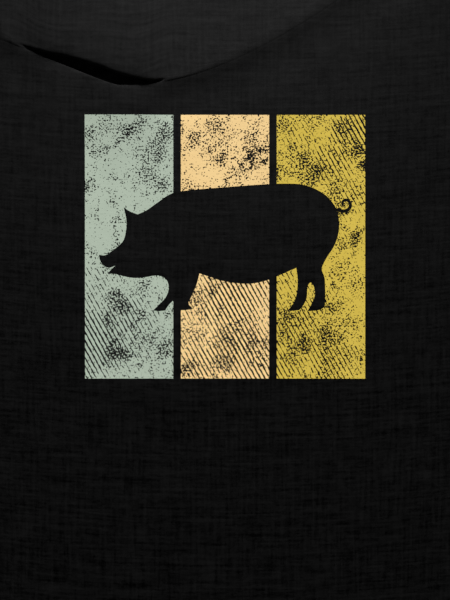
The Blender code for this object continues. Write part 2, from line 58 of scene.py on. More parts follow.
CLOTH = 0.0008
GAP = 0.0003
FRONT_Z = CLOTH + GAP
SHOULDER_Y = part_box("front_panel")[1].y
HEM_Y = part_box("back_panel")[0].y
HALF_CHEST = 0.270
HALF_WAIST = 0.265
HALF_HEM = 0.268
HALF_ACROSS = 0.2225
HALF_SHOULDER = 0.235
SLEEVE_TOP_Y = SHOULDER_Y - 0.045
PIT_Y = SHOULDER_Y - 0.285
# How far up the armhole the body is cut in furthest, as a share, and how sharply the armhole turns out
# below and above there.
ARMHOLE_WAIST = 0.45
ARMHOLE_BELOW = 2.2
ARMHOLE_ABOVE = 1.6
HEM_DEPTH = 0.022
HEM_WAVE = 0.003
HEM_WAVES = 3
NECK_HALF = 0.100
# Below 1, which makes the neckline a squarer U than half an ellipse.
NECK_POWER = 0.85
FRONT_NECK_DROP = 0.105
NECK_RISE = 0.0050
NECK_SIDE_LIFT = 0.0018
NECK_SIDE_REACH = 0.045
# The seams hold the cloth down for this way from them, and it dips close beside them.
SEAM_REACH = 0.030
SEAM_DIP = 0.00045
SEAM_DIP_REACH = 0.0022


def mix(low, high, share):
    return low + (high - low) * share


def smooth(low, high, value):
    """0 at low, 1 at high and beyond, and an even S-curve between."""
    share = np.clip((value - low) / (high - low), 0, 1)
    return share * share * (3 - 2 * share)


def lengths_along(points):
    """The shares of a polyline's length at its points."""
    way = np.concatenate(([0], np.cumsum(np.linalg.norm(np.diff(points, axis=0), axis=1))))
    return way / way[-1]


def along(points, shares):
    """The points at these shares of a polyline's length."""
    way = lengths_along(points)
    return np.stack([np.interp(shares, way, points[:, k]) for k in range(points.shape[1])], axis=-1)


def coons(bottom, top, left, right, u, v):
    """Points of the patch between four polylines. left and right run from bottom to top."""
    u, v = np.broadcast_arrays(u, v)
    across, up = u[..., None], v[..., None]
    ruled_v = mix(along(bottom, u), along(top, u), up)
    ruled_u = mix(along(left, v), along(right, v), across)
    return ruled_v + ruled_u - mix(mix(bottom[0], bottom[-1], across), mix(top[0], top[-1], across), up)


def edge_x(y):
    """Half the body's width at a height: its side, drawn in at the waist, and then the armhole."""
    share = (y - HEM_Y) / (PIT_Y - HEM_Y)
    side = mix(HALF_HEM, HALF_CHEST, share) - (HALF_CHEST - HALF_WAIST) * np.sin(np.pi * share)
    share = (y - PIT_Y) / (SLEEVE_TOP_Y - PIT_Y)
    below = np.maximum(0, 1 - share / ARMHOLE_WAIST) ** ARMHOLE_BELOW
    above = np.maximum(0, (share - ARMHOLE_WAIST) / (1 - ARMHOLE_WAIST)) ** ARMHOLE_ABOVE
    armhole = HALF_ACROSS + (HALF_CHEST - HALF_ACROSS) * below + (HALF_SHOULDER - HALF_ACROSS) * above
    return np.where(y < PIT_Y, side, armhole)


def hem_y(x):
    """The hem's lower edge, which rises and falls in waves."""
    return HEM_Y + HEM_WAVE * (1 - np.cos(math.tau * HEM_WAVES / 2 * (x / HALF_HEM + 0.2))) / 2


def hem_line(steps=120):
    x = np.linspace(-HALF_HEM, HALF_HEM, steps + 1)
    return np.stack([x, hem_y(x)], axis=-1)


def side_line(side, low_y, high_y, steps=240):
    y = np.linspace(low_y, high_y, steps + 1)
    return np.stack([side * edge_x(y), y], axis=-1)


def neckline(drop, steps):
    """The seam of the neckband from the right shoulder to the left, as a U."""
    turn = np.linspace(0, np.pi, steps + 1)
    y = SHOULDER_Y - drop * np.abs(np.sin(turn)) ** NECK_POWER
    return np.stack([-NECK_HALF * np.cos(turn), y], axis=-1)


def top_edge(drop, neck_steps=108, steps=46):
    """Right shoulder, neckline and left shoulder, as one line."""
    neck = neckline(drop, neck_steps)
    share = np.linspace(0, 1, steps + 1)[:, None]
    right = mix(np.array([-HALF_SHOULDER, SLEEVE_TOP_Y]), neck[0], share)
    left = mix(neck[-1], np.array([HALF_SHOULDER, SLEEVE_TOP_Y]), share)
    return np.concatenate([right, neck[1:-1], left])


# The deep fold runs from the right armhole down to its lowest point, and up to the left shoulder. Slope
# and rounding are given for its right side and its left side.
FOLD_LOW_X = -0.0956
FOLD_LOW_Y = SHOULDER_Y - 0.2050
FOLD_SLOPE = (0.42, 1.0)
FOLD_ROUNDING = (0.0042, 0.2136)
FOLD_EASE_X = 0.100
FOLD_EASE = 1.5
# Its section from the hem side to the neck side, in millimetres: way along the cloth, way over the ground
# while shut, share of the gape that is added to it, height, and the last two again where it is only a
# crease.
FOLD_SECTION = np.array([
    (-120, -120, 0, 0, -120, 0),
    (-70, -70, 0, 1, -70, 0.9),
    (-42, -42, 0, 3, -42, 1.9),
    (-26, -26, 0, 4.6, -26, 1.8),
    (-16, -16, 0, 5.5, -16, 3),
    (-9, -9, 0, 5.9, -9, 4.6),
    (-5, -5, 0, 6, -5, 5.9),
    (-2.4, -2.4, 0, 5.95, -2.4, 6.7),
    (-1, -1.05, 0, 5.75, -1, 7.1),
    (0, -0.3, 0, 5.15, -0.1, 7.3),
    (1, -0.1, 0, 4.2, 0.1, 7.45),
    (2.5, -0.6, 0, 2.9, 0.3, 7.6),
    (4.5, -1.8, 0, 1.2, 0.5, 7.75),
    (6, -2.3, 0, 0.45, 0.7, 7.85),
    (9, -0.2, 0.2, 0.4, 1, 8),
    (13, 3.4, 0.6, 0.4, 1.5, 8.1),
    (15.5, 5.6, 0.9, 0.8, 1.9, 8.15),
    (17, 6.1, 1, 2, 2.1, 8.1),
    (19.5, 4.9, 1, 4.4, 2.6, 8.05),
    (21.7, 3.3, 1, 6.3, 3, 8),
    (23.4, 2.3, 1, 8, 3.4, 7.9),
    (24.8, 2.4, 1, 9.7, 3.8, 7.8),
    (26.2, 3.6, 1, 10.8, 4.5, 7.7),
    (28.5, 5.9, 1, 11.4, 6, 7.4),
    (34, 11.4, 1, 11.8, 11.4, 6.7),
    (50, 27.4, 1, 11.2, 27.4, 4.7),
    (80, 57.4, 1, 8.4, 57.4, 2.3),
    (120, 97.4, 1, 4.2, 97.4, 0.8),
    (160, 137.4, 1, 0.9, 137.4, 0.2),
    (190, 167.4, 1, 0, 167.4, 0),
])
# Along the fold from the right, in millimetres: place, width of the gape, and how much of the cloth that
# the fold takes up where deep is let out again, which happens within FOLD_LET_OUT of its lip.
FOLD_ALONG = np.array([
    (-215, 0, 22.6), (-195, 0, 22.2), (-185, 0, 19), (-168, 1.4, 10), (-152, 4.4, 3), (-138, 7, 0.4),
    (-120, 9, 0.4), (-106, 10, 0.4), (-95, 8.2, 1.6), (-85, 5, 5), (-76, 2, 10), (-66, 0.2, 16),
    (-58, 0, 20), (-46, 0, 22.6), (300, 0, 22.6),
])
FOLD_LET_OUT = 0.007
# Where the fold flattens into a crease and where the crease is no more than a swell, on the right and on
# the left.
CREASES = ((-0.158, -0.193), (-0.078, -0.052))
CREASE_ENDS = ((-0.190, -0.215), (-0.045, 0.025))
# The fold draws the cloth above it down, all of it up to the second of these ways and none past the first.
DRAWN_DOWN = (0.160, 0.045)

# Softer folds: start, end, half width, height. They stray from their lines by about STRAY, as cloth does.
FRONT_FOLDS = (
    ((-0.262, PIT_Y + 0.002), (-0.228, PIT_Y - 0.085), 0.010, 0.0062),
    ((-0.246, PIT_Y + 0.035), (-0.224, PIT_Y - 0.020), 0.009, 0.0040),
    ((-0.262, PIT_Y - 0.080), (-0.238, PIT_Y - 0.205), 0.012, 0.0040),
    ((0.262, PIT_Y + 0.000), (0.226, PIT_Y - 0.105), 0.011, 0.0066),
    ((0.244, PIT_Y + 0.045), (0.222, PIT_Y - 0.005), 0.009, 0.0040),
    ((0.262, PIT_Y - 0.105), (0.238, PIT_Y - 0.245), 0.012, 0.0038),
    ((-0.226, HEM_Y + 0.010), (-0.234, HEM_Y + 0.150), 0.014, 0.0036),
    ((-0.078, HEM_Y), (-0.040, HEM_Y + 0.030), 0.024, 0.0022),
    ((0.200, HEM_Y), (0.236, HEM_Y + 0.170), 0.016, 0.0036),
    ((0.146, 0.190), (0.150, -0.300), 0.042, 0.0026),
    ((-0.148, 0.160), (-0.150, -0.060), 0.030, 0.0012),
)
STRAY = 0.007
STRAY_SIZE = 0.045


def fold_y(x):
    """The deep fold's line: nearly straight on each side of its low point, and easing to the left."""
    left = x > FOLD_LOW_X
    rounding = np.where(left, FOLD_ROUNDING[1], FOLD_ROUNDING[0])
    slope = np.where(left, FOLD_SLOPE[1], FOLD_SLOPE[0])
    eased = FOLD_EASE * np.maximum(0, x - FOLD_EASE_X) ** 2
    return FOLD_LOW_Y + np.hypot(rounding, slope * (x - FOLD_LOW_X)) - rounding - eased


def fold_end(side, tries=2000):
    """Where the fold's line meets an armhole."""
    y = np.linspace(PIT_Y, SLEEVE_TOP_Y, tries)
    met = y[np.argmax(y >= fold_y(side * edge_x(y)))]
    return np.array([side * edge_x(met), met])


def spline(table, at, column):
    """A smooth curve through one column of a table whose first column rises."""
    keys, values = table[:, 0], table[:, column]
    ahead = np.append(np.arange(1, len(keys)), len(keys) - 1)
    behind = np.maximum(np.arange(len(keys)) - 1, 0)
    slopes = (values[ahead] - values[behind]) / (keys[ahead] - keys[behind])
    i = np.clip(np.searchsorted(keys, at, side="right") - 1, 0, len(keys) - 2)
    width = keys[i + 1] - keys[i]
    share = np.clip((at - keys[i]) / width, 0, 1)
    curve = mix(values[i], values[i + 1], smooth(0, 1, share))
    return curve + width * (slopes[i] * share * (1 - share) ** 2 - slopes[i + 1] * share**2 * (1 - share))


def wander(x, y, size, seed):
    """A smooth random value from about -1 to 1 for each place, changing over this size."""
    return np.vectorize(lambda a, b: noise.noise((a / size, b / size, seed)))(x, y)


def ridge(x, y, start, end, half_width):
    """1 on the line from start to end, falling to 0 away from it, and tapered at its two ends."""
    (ax, ay), (bx, by) = start, end
    wx, wy = bx - ax, by - ay
    share = ((x - ax) * wx + (y - ay) * wy) / (wx * wx + wy * wy)
    held = np.clip(share, 0, 1)
    away = np.hypot(x - ax - held * wx, y - ay - held * wy)
    return smooth(-0.25, 0.25, share) * smooth(1.25, 0.6, share) * np.exp(-((away / half_width) ** 2))


def folds(x, y):
    """Height of the softer folds."""
    stray_x = x + STRAY * wander(x, y, STRAY_SIZE, 3.1)
    stray_y = y + STRAY * wander(x, y, STRAY_SIZE, 7.7)
    return sum(h * ridge(stray_x, stray_y, a, b, w) for a, b, w, h in FRONT_FOLDS)


def neck_lift(x):
    """How far the front's upper edge is lifted over the back's neckband and tape."""
    beside = smooth(NECK_HALF + NECK_SIDE_REACH, NECK_HALF, np.abs(x))
    return NECK_SIDE_LIFT * beside + NECK_RISE * np.maximum(0, 1 - (x / NECK_HALF) ** 2)


# The armholes' seams leave the cloth partly free, because the sleeves carry its folds on. They hold it
# towards their two ends.
ARMHOLE_FREEDOM = 0.55
ARMHOLE_HELD = 0.050


def freedom(x, y, to_top):
    """How free the cloth is of the seams round it, from 0 to 1: off the sides, off the top and in all."""
    off_side = smooth(0, SEAM_REACH, np.maximum(0, edge_x(y) - np.abs(x)))
    off_top = smooth(0, SEAM_REACH, to_top)
    armhole = smooth(PIT_Y, PIT_Y + ARMHOLE_HELD, y) * smooth(SLEEVE_TOP_Y, SLEEVE_TOP_Y - ARMHOLE_HELD, y)
    return off_side, off_top, off_top * mix(ARMHOLE_FREEDOM * armhole, 1.0, off_side)


def drape(x, y, to_top):
    """Points of the front's inner face over flat places, which are to_top away from the upper edge."""
    step = 0.001
    slope = (fold_y(x + step) - fold_y(x - step)) / (2 * step)
    upright = 1 / np.hypot(1, slope)
    way = (y - fold_y(x)) * upright
    crease, gone = (
        np.maximum(*(smooth(start, end, x) for start, end in places)) for places in (CREASES, CREASE_ENDS)
    )
    gape, let_out = (spline(FOLD_ALONG, x * 1000, column) / 1000 for column in (1, 2))
    let_out = let_out * (1 - np.exp(-np.maximum(0, way) / FOLD_LET_OUT))
    at = np.clip((way + let_out) * 1000, FOLD_SECTION[0, 0], FOLD_SECTION[-1, 0])
    over, share, height, flat_over, flat_height = (spline(FOLD_SECTION, at, c) for c in (1, 2, 3, 4, 5))
    over, height = mix(over, flat_over, crease), mix(height, flat_height, crease) / 1000 + folds(x, y)
    shift = ((over - at) / 1000 + let_out + gape * share) * smooth(*DRAWN_DOWN, way) * (1 - gone)
    off_side, off_top, free = freedom(x, y, to_top)
    shift = shift * off_side * off_top
    z = FRONT_Z + neck_lift(x) * (1 - off_top) + height * free
    return np.stack([x - slope * upright * shift, y + upright * shift, z], axis=-1)


# A hem's twin rows of stitches and its rows of points, by their ways past its raw edge.
NEEDLES = (0.0022, 0.0078)
HEM_ROWS = (
    0.0006, 0.0014, 0.0022, 0.0030, 0.0048, 0.0070, 0.0078,
    0.0086, 0.0115, 0.0150, 0.0185, 0.0206, 0.0216, 0.0220,
)
# How deep the stitches draw in the outer face of the front and of the back, and how far to each side.
FRONT_DIP = 0.00045
BACK_DIP = 0.00025
DIP_REACH = 0.0007
# The hem's two layers puff up below the stitches, unevenly, and are round at the fold.
HEM_PUFF = 0.0004
HEM_ROUNDING = 0.0009
HEM_ROUND_REACH = 0.0010
ROPING = 0.5
ROPING_SIZE = 0.011
# Further columns and rows of points close to the sides and the top, in shares, and how widely the rows
# start out from the deep fold's line.
SIDE_COLUMNS = (0.0008, 0.0018, 0.0034, 0.9966, 0.9982, 0.9992)
TOP_ROWS = (1, 0.9985, 0.996, 0.992)
NEXT_ROW = 0.985
SPACED_ABOVE = 0.048
SPACED_BELOW = 0.090


def spaced(near, far, share):
    """Ways from 0 to far that start close together."""
    return near * share * (1 - share) + far * share**2


def front_cut(high_rows=84, low_rows=112, line_points=241):
    """Flat places of the front in rows from neck to hem, and their ways from the top and the hem."""
    ends = {side: fold_end(side) for side in (-1, 1)}
    line_x = np.linspace(ends[-1][0], ends[1][0], line_points)
    line = np.stack([line_x, fold_y(line_x)], axis=-1)
    line[0], line[-1] = ends[-1], ends[1]
    top, hem = top_edge(FRONT_NECK_DROP), hem_line()
    shares = np.unique(np.append(lengths_along(top), SIDE_COLUMNS))
    lower = [side_line(side, hem_y(side * HALF_HEM), ends[side][1]) for side in (-1, 1)]
    upper = [side_line(side, ends[side][1], SLEEVE_TOP_Y, steps=80) for side in (-1, 1)]
    above = np.linalg.norm(along(top, shares) - along(line, shares), axis=1)
    share = np.array([*TOP_ROWS, *np.linspace(NEXT_ROW, 0, high_rows)[:-1]])[:, None]
    up = spaced(np.minimum(SPACED_ABOVE, above), above, share)
    body = np.linalg.norm(along(line, shares) - along(hem, shares), axis=1) - HEM_DEPTH
    down = spaced(SPACED_BELOW, body, np.linspace(0, 1, low_rows)[:, None])
    down = np.concatenate([down, body + np.array(HEM_ROWS)[:, None]])
    flat_above = coons(line, top, *upper, shares, up / above)
    flat_below = coons(hem, line, *lower, shares, 1 - down / (body + HEM_DEPTH))
    parts = ((flat_above, flat_below), (above - up, above + down), (body + up, body - down))
    return (np.concatenate(part) for part in parts)


def needle_dips(past_edge, depth):
    """How deep the twin rows of stitches draw the cloth in, at a way past the raw edge."""
    return sum(depth * np.exp(-(((past_edge - needle) / DIP_REACH) ** 2)) for needle in NEEDLES)


def hem_build(past_edge, roping):
    """Height added by a hem at a way past its raw edge: a second layer, drawn in at the stitches."""
    layer = CLOTH * smooth(0, HEM_ROWS[0], past_edge) - needle_dips(past_edge, FRONT_DIP)
    puff = HEM_PUFF * np.sin(np.pi * np.clip((past_edge - NEEDLES[1]) / (HEM_DEPTH - NEEDLES[1]), 0, 1))
    rounding = HEM_ROUNDING * smooth(HEM_ROUND_REACH, 0, HEM_DEPTH - past_edge)
    return np.where(past_edge > 0, layer + puff * (1 + ROPING * roping) - rounding, 0)


def raised(flat, height):
    """Points over flat places, at these heights."""
    return np.concatenate([flat, height[..., None]], axis=-1)


def pick(piece):
    """Selects one piece alone."""
    bpy.ops.object.select_all(action="DESELECT")
    piece.select_set(True)
    bpy.context.view_layer.objects.active = piece


def new_piece(name, points, faces):
    mesh = bpy.data.meshes.new(name)
    mesh.from_pydata(points, [], faces)
    piece = bpy.data.objects.new(name, mesh)
    bpy.context.scene.collection.objects.link(piece)
    return piece


def point_outwards(piece, smooth_angle=50):
    """Turns a piece's faces outwards and smooths its shading, up to an angle between faces."""
    pick(piece)
    bpy.ops.object.mode_set(mode="EDIT")
    bpy.ops.mesh.select_all(action="SELECT")
    bpy.ops.mesh.normals_make_consistent(inside=False)
    bpy.ops.object.mode_set(mode="OBJECT")
    bpy.ops.object.shade_smooth_by_angle(angle=math.radians(smooth_angle))


def cloth(name, place, cut, lower, upper, material, smooth_angle=50):
    """A closed sheet whose two faces stand off a grid of points. cut is the grid's flat pattern."""
    rows, columns = place.shape[:2]
    normal = np.cross(np.gradient(place, axis=1), np.gradient(place, axis=0))
    normal /= np.linalg.norm(normal, axis=-1, keepdims=True)
    normal *= np.sign(normal[..., 2].sum())
    # The walls along the edges stand upright, so that neighbours meet wall to wall.
    normal[0], normal[-1], normal[:, 0], normal[:, -1] = ((0, 0, 1),) * 4
    faces = [place + normal * np.broadcast_to(h, (rows, columns))[..., None] for h in (lower, upper)]
    points = np.concatenate([f.reshape(-1, 3) for f in faces])
    at = np.arange(rows * columns).reshape(rows, columns)
    quads = np.stack([at[1:, :-1], at[1:, 1:], at[:-1, 1:], at[:-1, :-1]], axis=-1).reshape(-1, 4)
    rim = np.concatenate([at[0, :-1], at[:-1, -1], at[-1, :0:-1], at[:0:-1, 0]])
    ahead, lift = np.roll(rim, -1), rows * columns
    walls = np.stack([rim, ahead, ahead + lift, rim + lift], axis=-1)
    polygons = np.concatenate([quads[:, ::-1], quads + lift, walls])
    piece = new_piece(name, points.tolist(), polygons.tolist())
    mesh = piece.data
    corners = np.empty(len(mesh.loops), int)
    mesh.loops.foreach_get("vertex_index", corners)
    flat = np.tile(cut.reshape(-1, 2), (2, 1))[corners]
    mesh.uv_layers.new(name="cut").data.foreach_set("uv", flat.ravel())
    mesh.materials.append(material)
    point_outwards(piece, smooth_angle)
    return piece


def linear(text):
    """An sRGB hex colour as linear values."""
    parts = [int(text[i : i + 2], 16) / 255 for i in (1, 3, 5)]
    return (*[p / 12.92 if p <= 0.04045 else ((p + 0.055) / 1.055) ** 2.4 for p in parts], 1.0)


def wire(material, node, inputs):
    """Sets a node's inputs, each to a value or to another node's output."""
    for name, value in inputs.items():
        if isinstance(value, bpy.types.NodeSocket):
            material.node_tree.links.new(value, node.inputs[name])
        else:
            node.inputs[name].default_value = value


def add(material, kind, inputs, **settings):
    """Adds a node with its settings and inputs."""
    node = material.node_tree.nodes.new(kind)
    for name, value in settings.items():
        setattr(node, name, value)
    wire(material, node, inputs)
    return node


def material_of(name, **inputs):
    """A material with its shader's own values, and the shader."""
    material = bpy.data.materials.new(name)
    material.use_nodes = True
    shader = material.node_tree.nodes["Principled BSDF"]
    wire(material, shader, {key.replace("_", " "): value for key, value in inputs.items()})
    return material, shader


def noise_at(material, place, length, width, detail=2.0, turn=0.0):
    """Noise drawn out to this length and width, in metres."""
    mapped = add(
        material,
        "ShaderNodeMapping",
        {"Vector": place, "Rotation": (0, 0, turn), "Scale": (length, width, 1.0)},
        vector_type="TEXTURE",
    )
    return add(
        material,
        "ShaderNodeTexNoise",
        {"Vector": mapped.outputs["Vector"], "Scale": 1.0, "Detail": detail, "Roughness": 0.55},
    ).outputs["Fac"]


def weighed(material, terms):
    """The sum of several outputs, each times its weight."""
    total = 0.0
    for output, weight in terms:
        total = add(
            material, "ShaderNodeMath", {0: output, 1: weight, 2: total}, operation="MULTIPLY_ADD"
        ).outputs[0]
    return total


def dye(material, shader, pattern, colours, spread, strength, depth):
    """Colours a cloth between two hex values over a spread of its pattern, which is its relief too."""
    tone = add(material, "ShaderNodeValToRGB", {"Fac": pattern})
    for element, position, colour in zip(tone.color_ramp.elements, spread, colours):
        element.position, element.color = position, linear(colour)
    relief = add(material, "ShaderNodeBump", {"Height": pattern, "Strength": strength, "Distance": depth})
    wire(material, shader, {"Base Color": tone.outputs["Color"], "Normal": relief.outputs["Normal"]})


# Cotton jersey, knitted of slubby yarn and piece-dyed black: a soft matt black, in which thick and thin
# yarns show as faint level threads and bands, crossed by fainter upright ones, and sagging a little in the
# middle. A stitch is about 0.8 mm across, too fine to show, so most threads are drawn 2 mm thick and more.
# Each is length, width and weight.
JERSEY_DARK = "#000000"
JERSEY_LIGHT = "#0f0f0f"
YARNS = (
    (0.100, 0.0070, 0.16),
    (0.035, 0.0028, 0.21),
    (0.0028, 0.045, 0.20),
    (0.012, 0.009, 0.12),
    (0.0050, 0.0028, 0.16),
    (0.0014, 0.0014, 0.15),
)
SAG = 0.23
# The spreads of the yarns' sum that take the cloth from dark to light and its gloss from low to high.
TONE_SPREAD = (0.41, 0.59)
GLOSS_SPREAD = (0.36, 0.64)
GLOSS = (0.50, 0.66)

jersey, shader = material_of("piece_dyed_cotton_jersey", Roughness=1.0, Sheen_Weight=0.0)
on_cut = add(jersey, "ShaderNodeUVMap", {}, uv_map="cut").outputs["UV"]
ways = add(jersey, "ShaderNodeSeparateXYZ", {"Vector": on_cut}).outputs
squared = add(jersey, "ShaderNodeMath", {0: ways["X"], 1: ways["X"]}, operation="MULTIPLY").outputs[0]
sagged = weighed(jersey, [(squared, -SAG), (ways["Y"], 1.0)])
on_yarns = add(jersey, "ShaderNodeCombineXYZ", {"X": ways["X"], "Y": sagged}).outputs["Vector"]
yarns = weighed(jersey, [(noise_at(jersey, on_yarns, *size), weight) for *size, weight in YARNS])
dye(jersey, shader, yarns, (JERSEY_DARK, JERSEY_LIGHT), TONE_SPREAD, strength=0.6, depth=0.0006)
limits = dict(zip(("From Min", "From Max", "To Min", "To Max"), GLOSS_SPREAD + GLOSS))
gloss = add(jersey, "ShaderNodeMapRange", {"Value": yarns, **limits}).outputs["Result"]
wire(jersey, shader, {"Specular IOR Level": gloss})

front_flat, to_top, to_hem = front_cut()
x, y = front_flat[..., 0], front_flat[..., 1]
top = CLOTH + hem_build(HEM_DEPTH - to_hem, wander(x, y * 0.2, ROPING_SIZE, 5.5))
to_side = np.where(to_hem > HEM_DEPTH, np.maximum(0, edge_x(y) - np.abs(x)), 1)
top = top - SEAM_DIP * (1 - smooth(0, SEAM_DIP_REACH, np.minimum(to_side, to_top)))
front_place = drape(x, y, to_top)
front = cloth("front", front_place, front_flat, 0.0, top, jersey)
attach(front, "root")
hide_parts("front_panel")

# Back panel
#
# The same jersey under the front, cut higher at the neck. It lies on the table, and rises a little where
# the front pulls away from it. Its outer face is the lower one, where the hem's stitches draw it in.

BACK_NECK_DROP = 0.022
BACK_FOLLOWS = 0.22
# Where it starts to follow the front, and where it does so in full, below the shoulder.
FOLLOWS_BELOW = (0.10, 0.17)


def looking_at(piece, from_above):
    """Gives the height of a piece's upper or lower face over a place, or None beside it."""
    tree = BVHTree.FromObject(piece, bpy.context.evaluated_depsgraph_get())
    start, way = (1, -1) if from_above else (-1, 1)

    def height(x, y):
        hit = tree.ray_cast(Vector((x, y, start)), Vector((0, 0, way)))[0]
        return None if hit is None else hit.z

    return height


def following(piece, x, y):
    """How far the cloth under a piece is drawn up towards it."""
    below = looking_at(piece, from_above=False)
    gaps = np.vectorize(lambda a, b: (below(a, b) or FRONT_Z) - FRONT_Z)(x, y)
    return BACK_FOLLOWS * np.maximum(0, gaps)


def back_cut(rows=96):
    """Flat places of the back in rows from neck to hem, and their ways from the hem."""
    top, hem = top_edge(BACK_NECK_DROP, neck_steps=60, steps=26), hem_line()
    shares = lengths_along(top)
    sides = [side_line(side, hem_y(side * HALF_HEM), SLEEVE_TOP_Y) for side in (-1, 1)]
    height = np.linalg.norm(along(top, shares) - along(hem, shares), axis=1)
    body = height - HEM_DEPTH
    down = np.concatenate([body * np.linspace(0, 1, rows)[:, None], body + np.array(HEM_ROWS)[:, None]])
    return coons(hem, top, *sides, shares, 1 - down / height), height - down


back_flat, to_hem = back_cut()
x, y = back_flat[..., 0], back_flat[..., 1]
lift = following(front, x, y) * smooth(*(SHOULDER_Y - below for below in FOLLOWS_BELOW), y)
dips = needle_dips(HEM_DEPTH - to_hem, BACK_DIP)
back = cloth("back", raised(back_flat, lift), back_flat, dips, CLOTH, jersey)
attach(back, "root")
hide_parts("back_panel")

# Sleeves
#
# Two short sleeves of the same jersey, each folded along its top and sewn to the armhole. The front of a
# sleeve carries on the folds of the armpit. The cuffs are turned in and held by twin rows of stitches as
# the hem is.

SLEEVE_LENGTH = 0.220
SLEEVE_ANGLE = math.radians(25)
CUFF_WIDTH = 0.192
CUFF_SLANT = math.radians(6)
SEAM_GAP = 0.00004
# Rows of points close to the armhole's seam, by their ways from it, and further ones beside both edges.
SEAM_ROWS = (0, 0.0006, 0.0014, 0.0024)
NEXT_SLEEVE_ROW = 0.0045
EDGE_ROWS = (0.003, 0.007, 0.013, 0.987, 0.993, 0.997)
# How far along a sleeve the armhole's lift is carried, and where its folds start to go and would be gone.
CARRIED_TO = 0.55
FOLDS_GO = (0.86, 1.12)
SLEEVE_STRAY = 0.006
SLEEVE_STRAY_SIZE = 0.040
# Folds of a sleeve's front: start and end in shares of its length and width, half width, height.
SLEEVE_FOLDS = {
    1: (
        ((0.02, 0.14), (0.58, 0.62), 0.017, 0.0068),
        ((0.26, 0.04), (0.84, 0.36), 0.015, 0.0050),
        ((0.10, 0.76), (0.62, 0.86), 0.018, 0.0036),
    ),
    -1: (
        ((0.03, 0.16), (0.66, 0.54), 0.018, 0.0064),
        ((0.34, 0.04), (0.88, 0.26), 0.014, 0.0044),
        ((0.10, 0.66), (0.52, 0.88), 0.017, 0.0038),
    ),
}


def sleeve_edges(side):
    """Armhole seam, cuff, underarm and shoulder lines of a sleeve, from the front panel's own edge on."""
    edge = front_place[::-1, -1 if side > 0 else 0]
    pit = [np.interp(PIT_Y, edge[:, 1], edge[:, k]) for k in range(3)]
    seam = np.concatenate([[pit], edge[edge[:, 1] > PIT_Y + 0.001]]) + (side * SEAM_GAP, 0, 0)
    out = np.array([side * math.cos(SLEEVE_ANGLE), -math.sin(SLEEVE_ANGLE), 0])
    across = SLEEVE_ANGLE + CUFF_SLANT
    cuff_top = seam[-1] + out * SLEEVE_LENGTH
    cuff_low = cuff_top - CUFF_WIDTH * np.array([side * math.sin(across), math.cos(across), 0])
    lines = ((cuff_low, cuff_top), (seam[0], cuff_low), (seam[-1], cuff_top))
    return seam, *(np.array(line) for line in lines)


def make_sleeve(side, name, nodes, even_rows=62):
    """Makes a sleeve. Gives its upper and under piece, its cuff's rows of stitches, and its flat cut."""
    seam, cuff, underarm, shoulder = sleeve_edges(side)
    length = np.linalg.norm(cuff[0] + cuff[1] - seam[0] - seam[-1]) / 2
    body = 1 - HEM_DEPTH / length
    v = np.append(np.array(SEAM_ROWS) / length, np.linspace(NEXT_SLEEVE_ROW / length, body, even_rows))
    v = np.append(v, body + np.array(HEM_ROWS) / length)[:, None]
    u = np.unique(np.append(lengths_along(seam), EDGE_ROWS))
    flat = coons(underarm, shoulder, seam, cuff, v, u)[..., :2]
    x, y = flat[..., 0], flat[..., 1]
    near_edge = np.minimum(u, 1 - u) * CUFF_WIDTH + 0 * v
    way, across = v * SLEEVE_LENGTH + 0 * u, u * CUFF_WIDTH + 0 * v
    stray = SLEEVE_STRAY * wander(x, y, SLEEVE_STRAY_SIZE, 1.7)
    height = 0
    for start, end, half_width, tall in SLEEVE_FOLDS[side]:
        a, b = ((w * SLEEVE_LENGTH, t * CUFF_WIDTH) for w, t in (start, end))
        height = height + tall * ridge(way + stray, across + stray, a, b, half_width)
    height = height * smooth(0, SEAM_REACH, near_edge) * smooth(0, SEAM_REACH, v * length)
    height = height * smooth(FOLDS_GO[1], FOLDS_GO[0], v)
    carried = (along(seam, u)[:, 2] - FRONT_Z) * smooth(CARRIED_TO, 0, v)
    past_edge = v * length - body * length
    top = CLOTH + hem_build(past_edge, wander(x * 3, y, ROPING_SIZE, 2.5))
    to_seam = np.where(past_edge < 0, np.minimum(near_edge, v * length), 1)
    top = top - SEAM_DIP * (1 - smooth(0, SEAM_DIP_REACH, to_seam))
    upper = cloth(f"{name}_upper", raised(flat, FRONT_Z + carried + height), flat, 0.0, top, jersey)
    lift, dips = following(upper, x, y), needle_dips(past_edge, BACK_DIP)
    under = cloth(f"{name}_under", raised(flat, lift), flat, dips, CLOTH, jersey)
    for piece, node in zip((upper, under), nodes):
        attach(piece, "root")
        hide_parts(node)
    u = np.linspace(0.01, 0.99, 100)
    needles = [coons(underarm, shoulder, seam, cuff, body + needle / length, u) for needle in NEEDLES]
    lengthwise = np.array([side * math.cos(SLEEVE_ANGLE), -math.sin(SLEEVE_ANGLE)])
    crosswise = np.array([side * math.sin(SLEEVE_ANGLE), math.cos(SLEEVE_ANGLE)])
    return upper, under, needles, np.stack([flat @ crosswise, flat @ lengthwise], axis=-1)


sleeves = [
    make_sleeve(1, "left_sleeve", ("sleeve_left_front", "sleeve_left_back")),
    make_sleeve(-1, "right_sleeve", ("sleeve_right_front", "sleeve_right_back")),
]

# Hem and cuff stitching
#
# Twin rows of black polyester thread, sewn on a twin-needle machine with about 3 mm to a stitch. The
# thread is half as thick again as a real one, so that its rows show.

STITCH = 0.0030
STITCH_GAP = 0.0007
THREAD_RADIUS = 0.00020
# Along a stitch: way in shares of its length, thickness in shares of the thread's, and how far it stands
# proud of the cloth.
STITCH_RINGS = ((-0.5, 0.35, -0.0001), (-0.3, 1.0, 0.00008), (0.3, 1.0, 0.00008), (0.5, 0.35, -0.0001))
STITCH_SIDES = 6

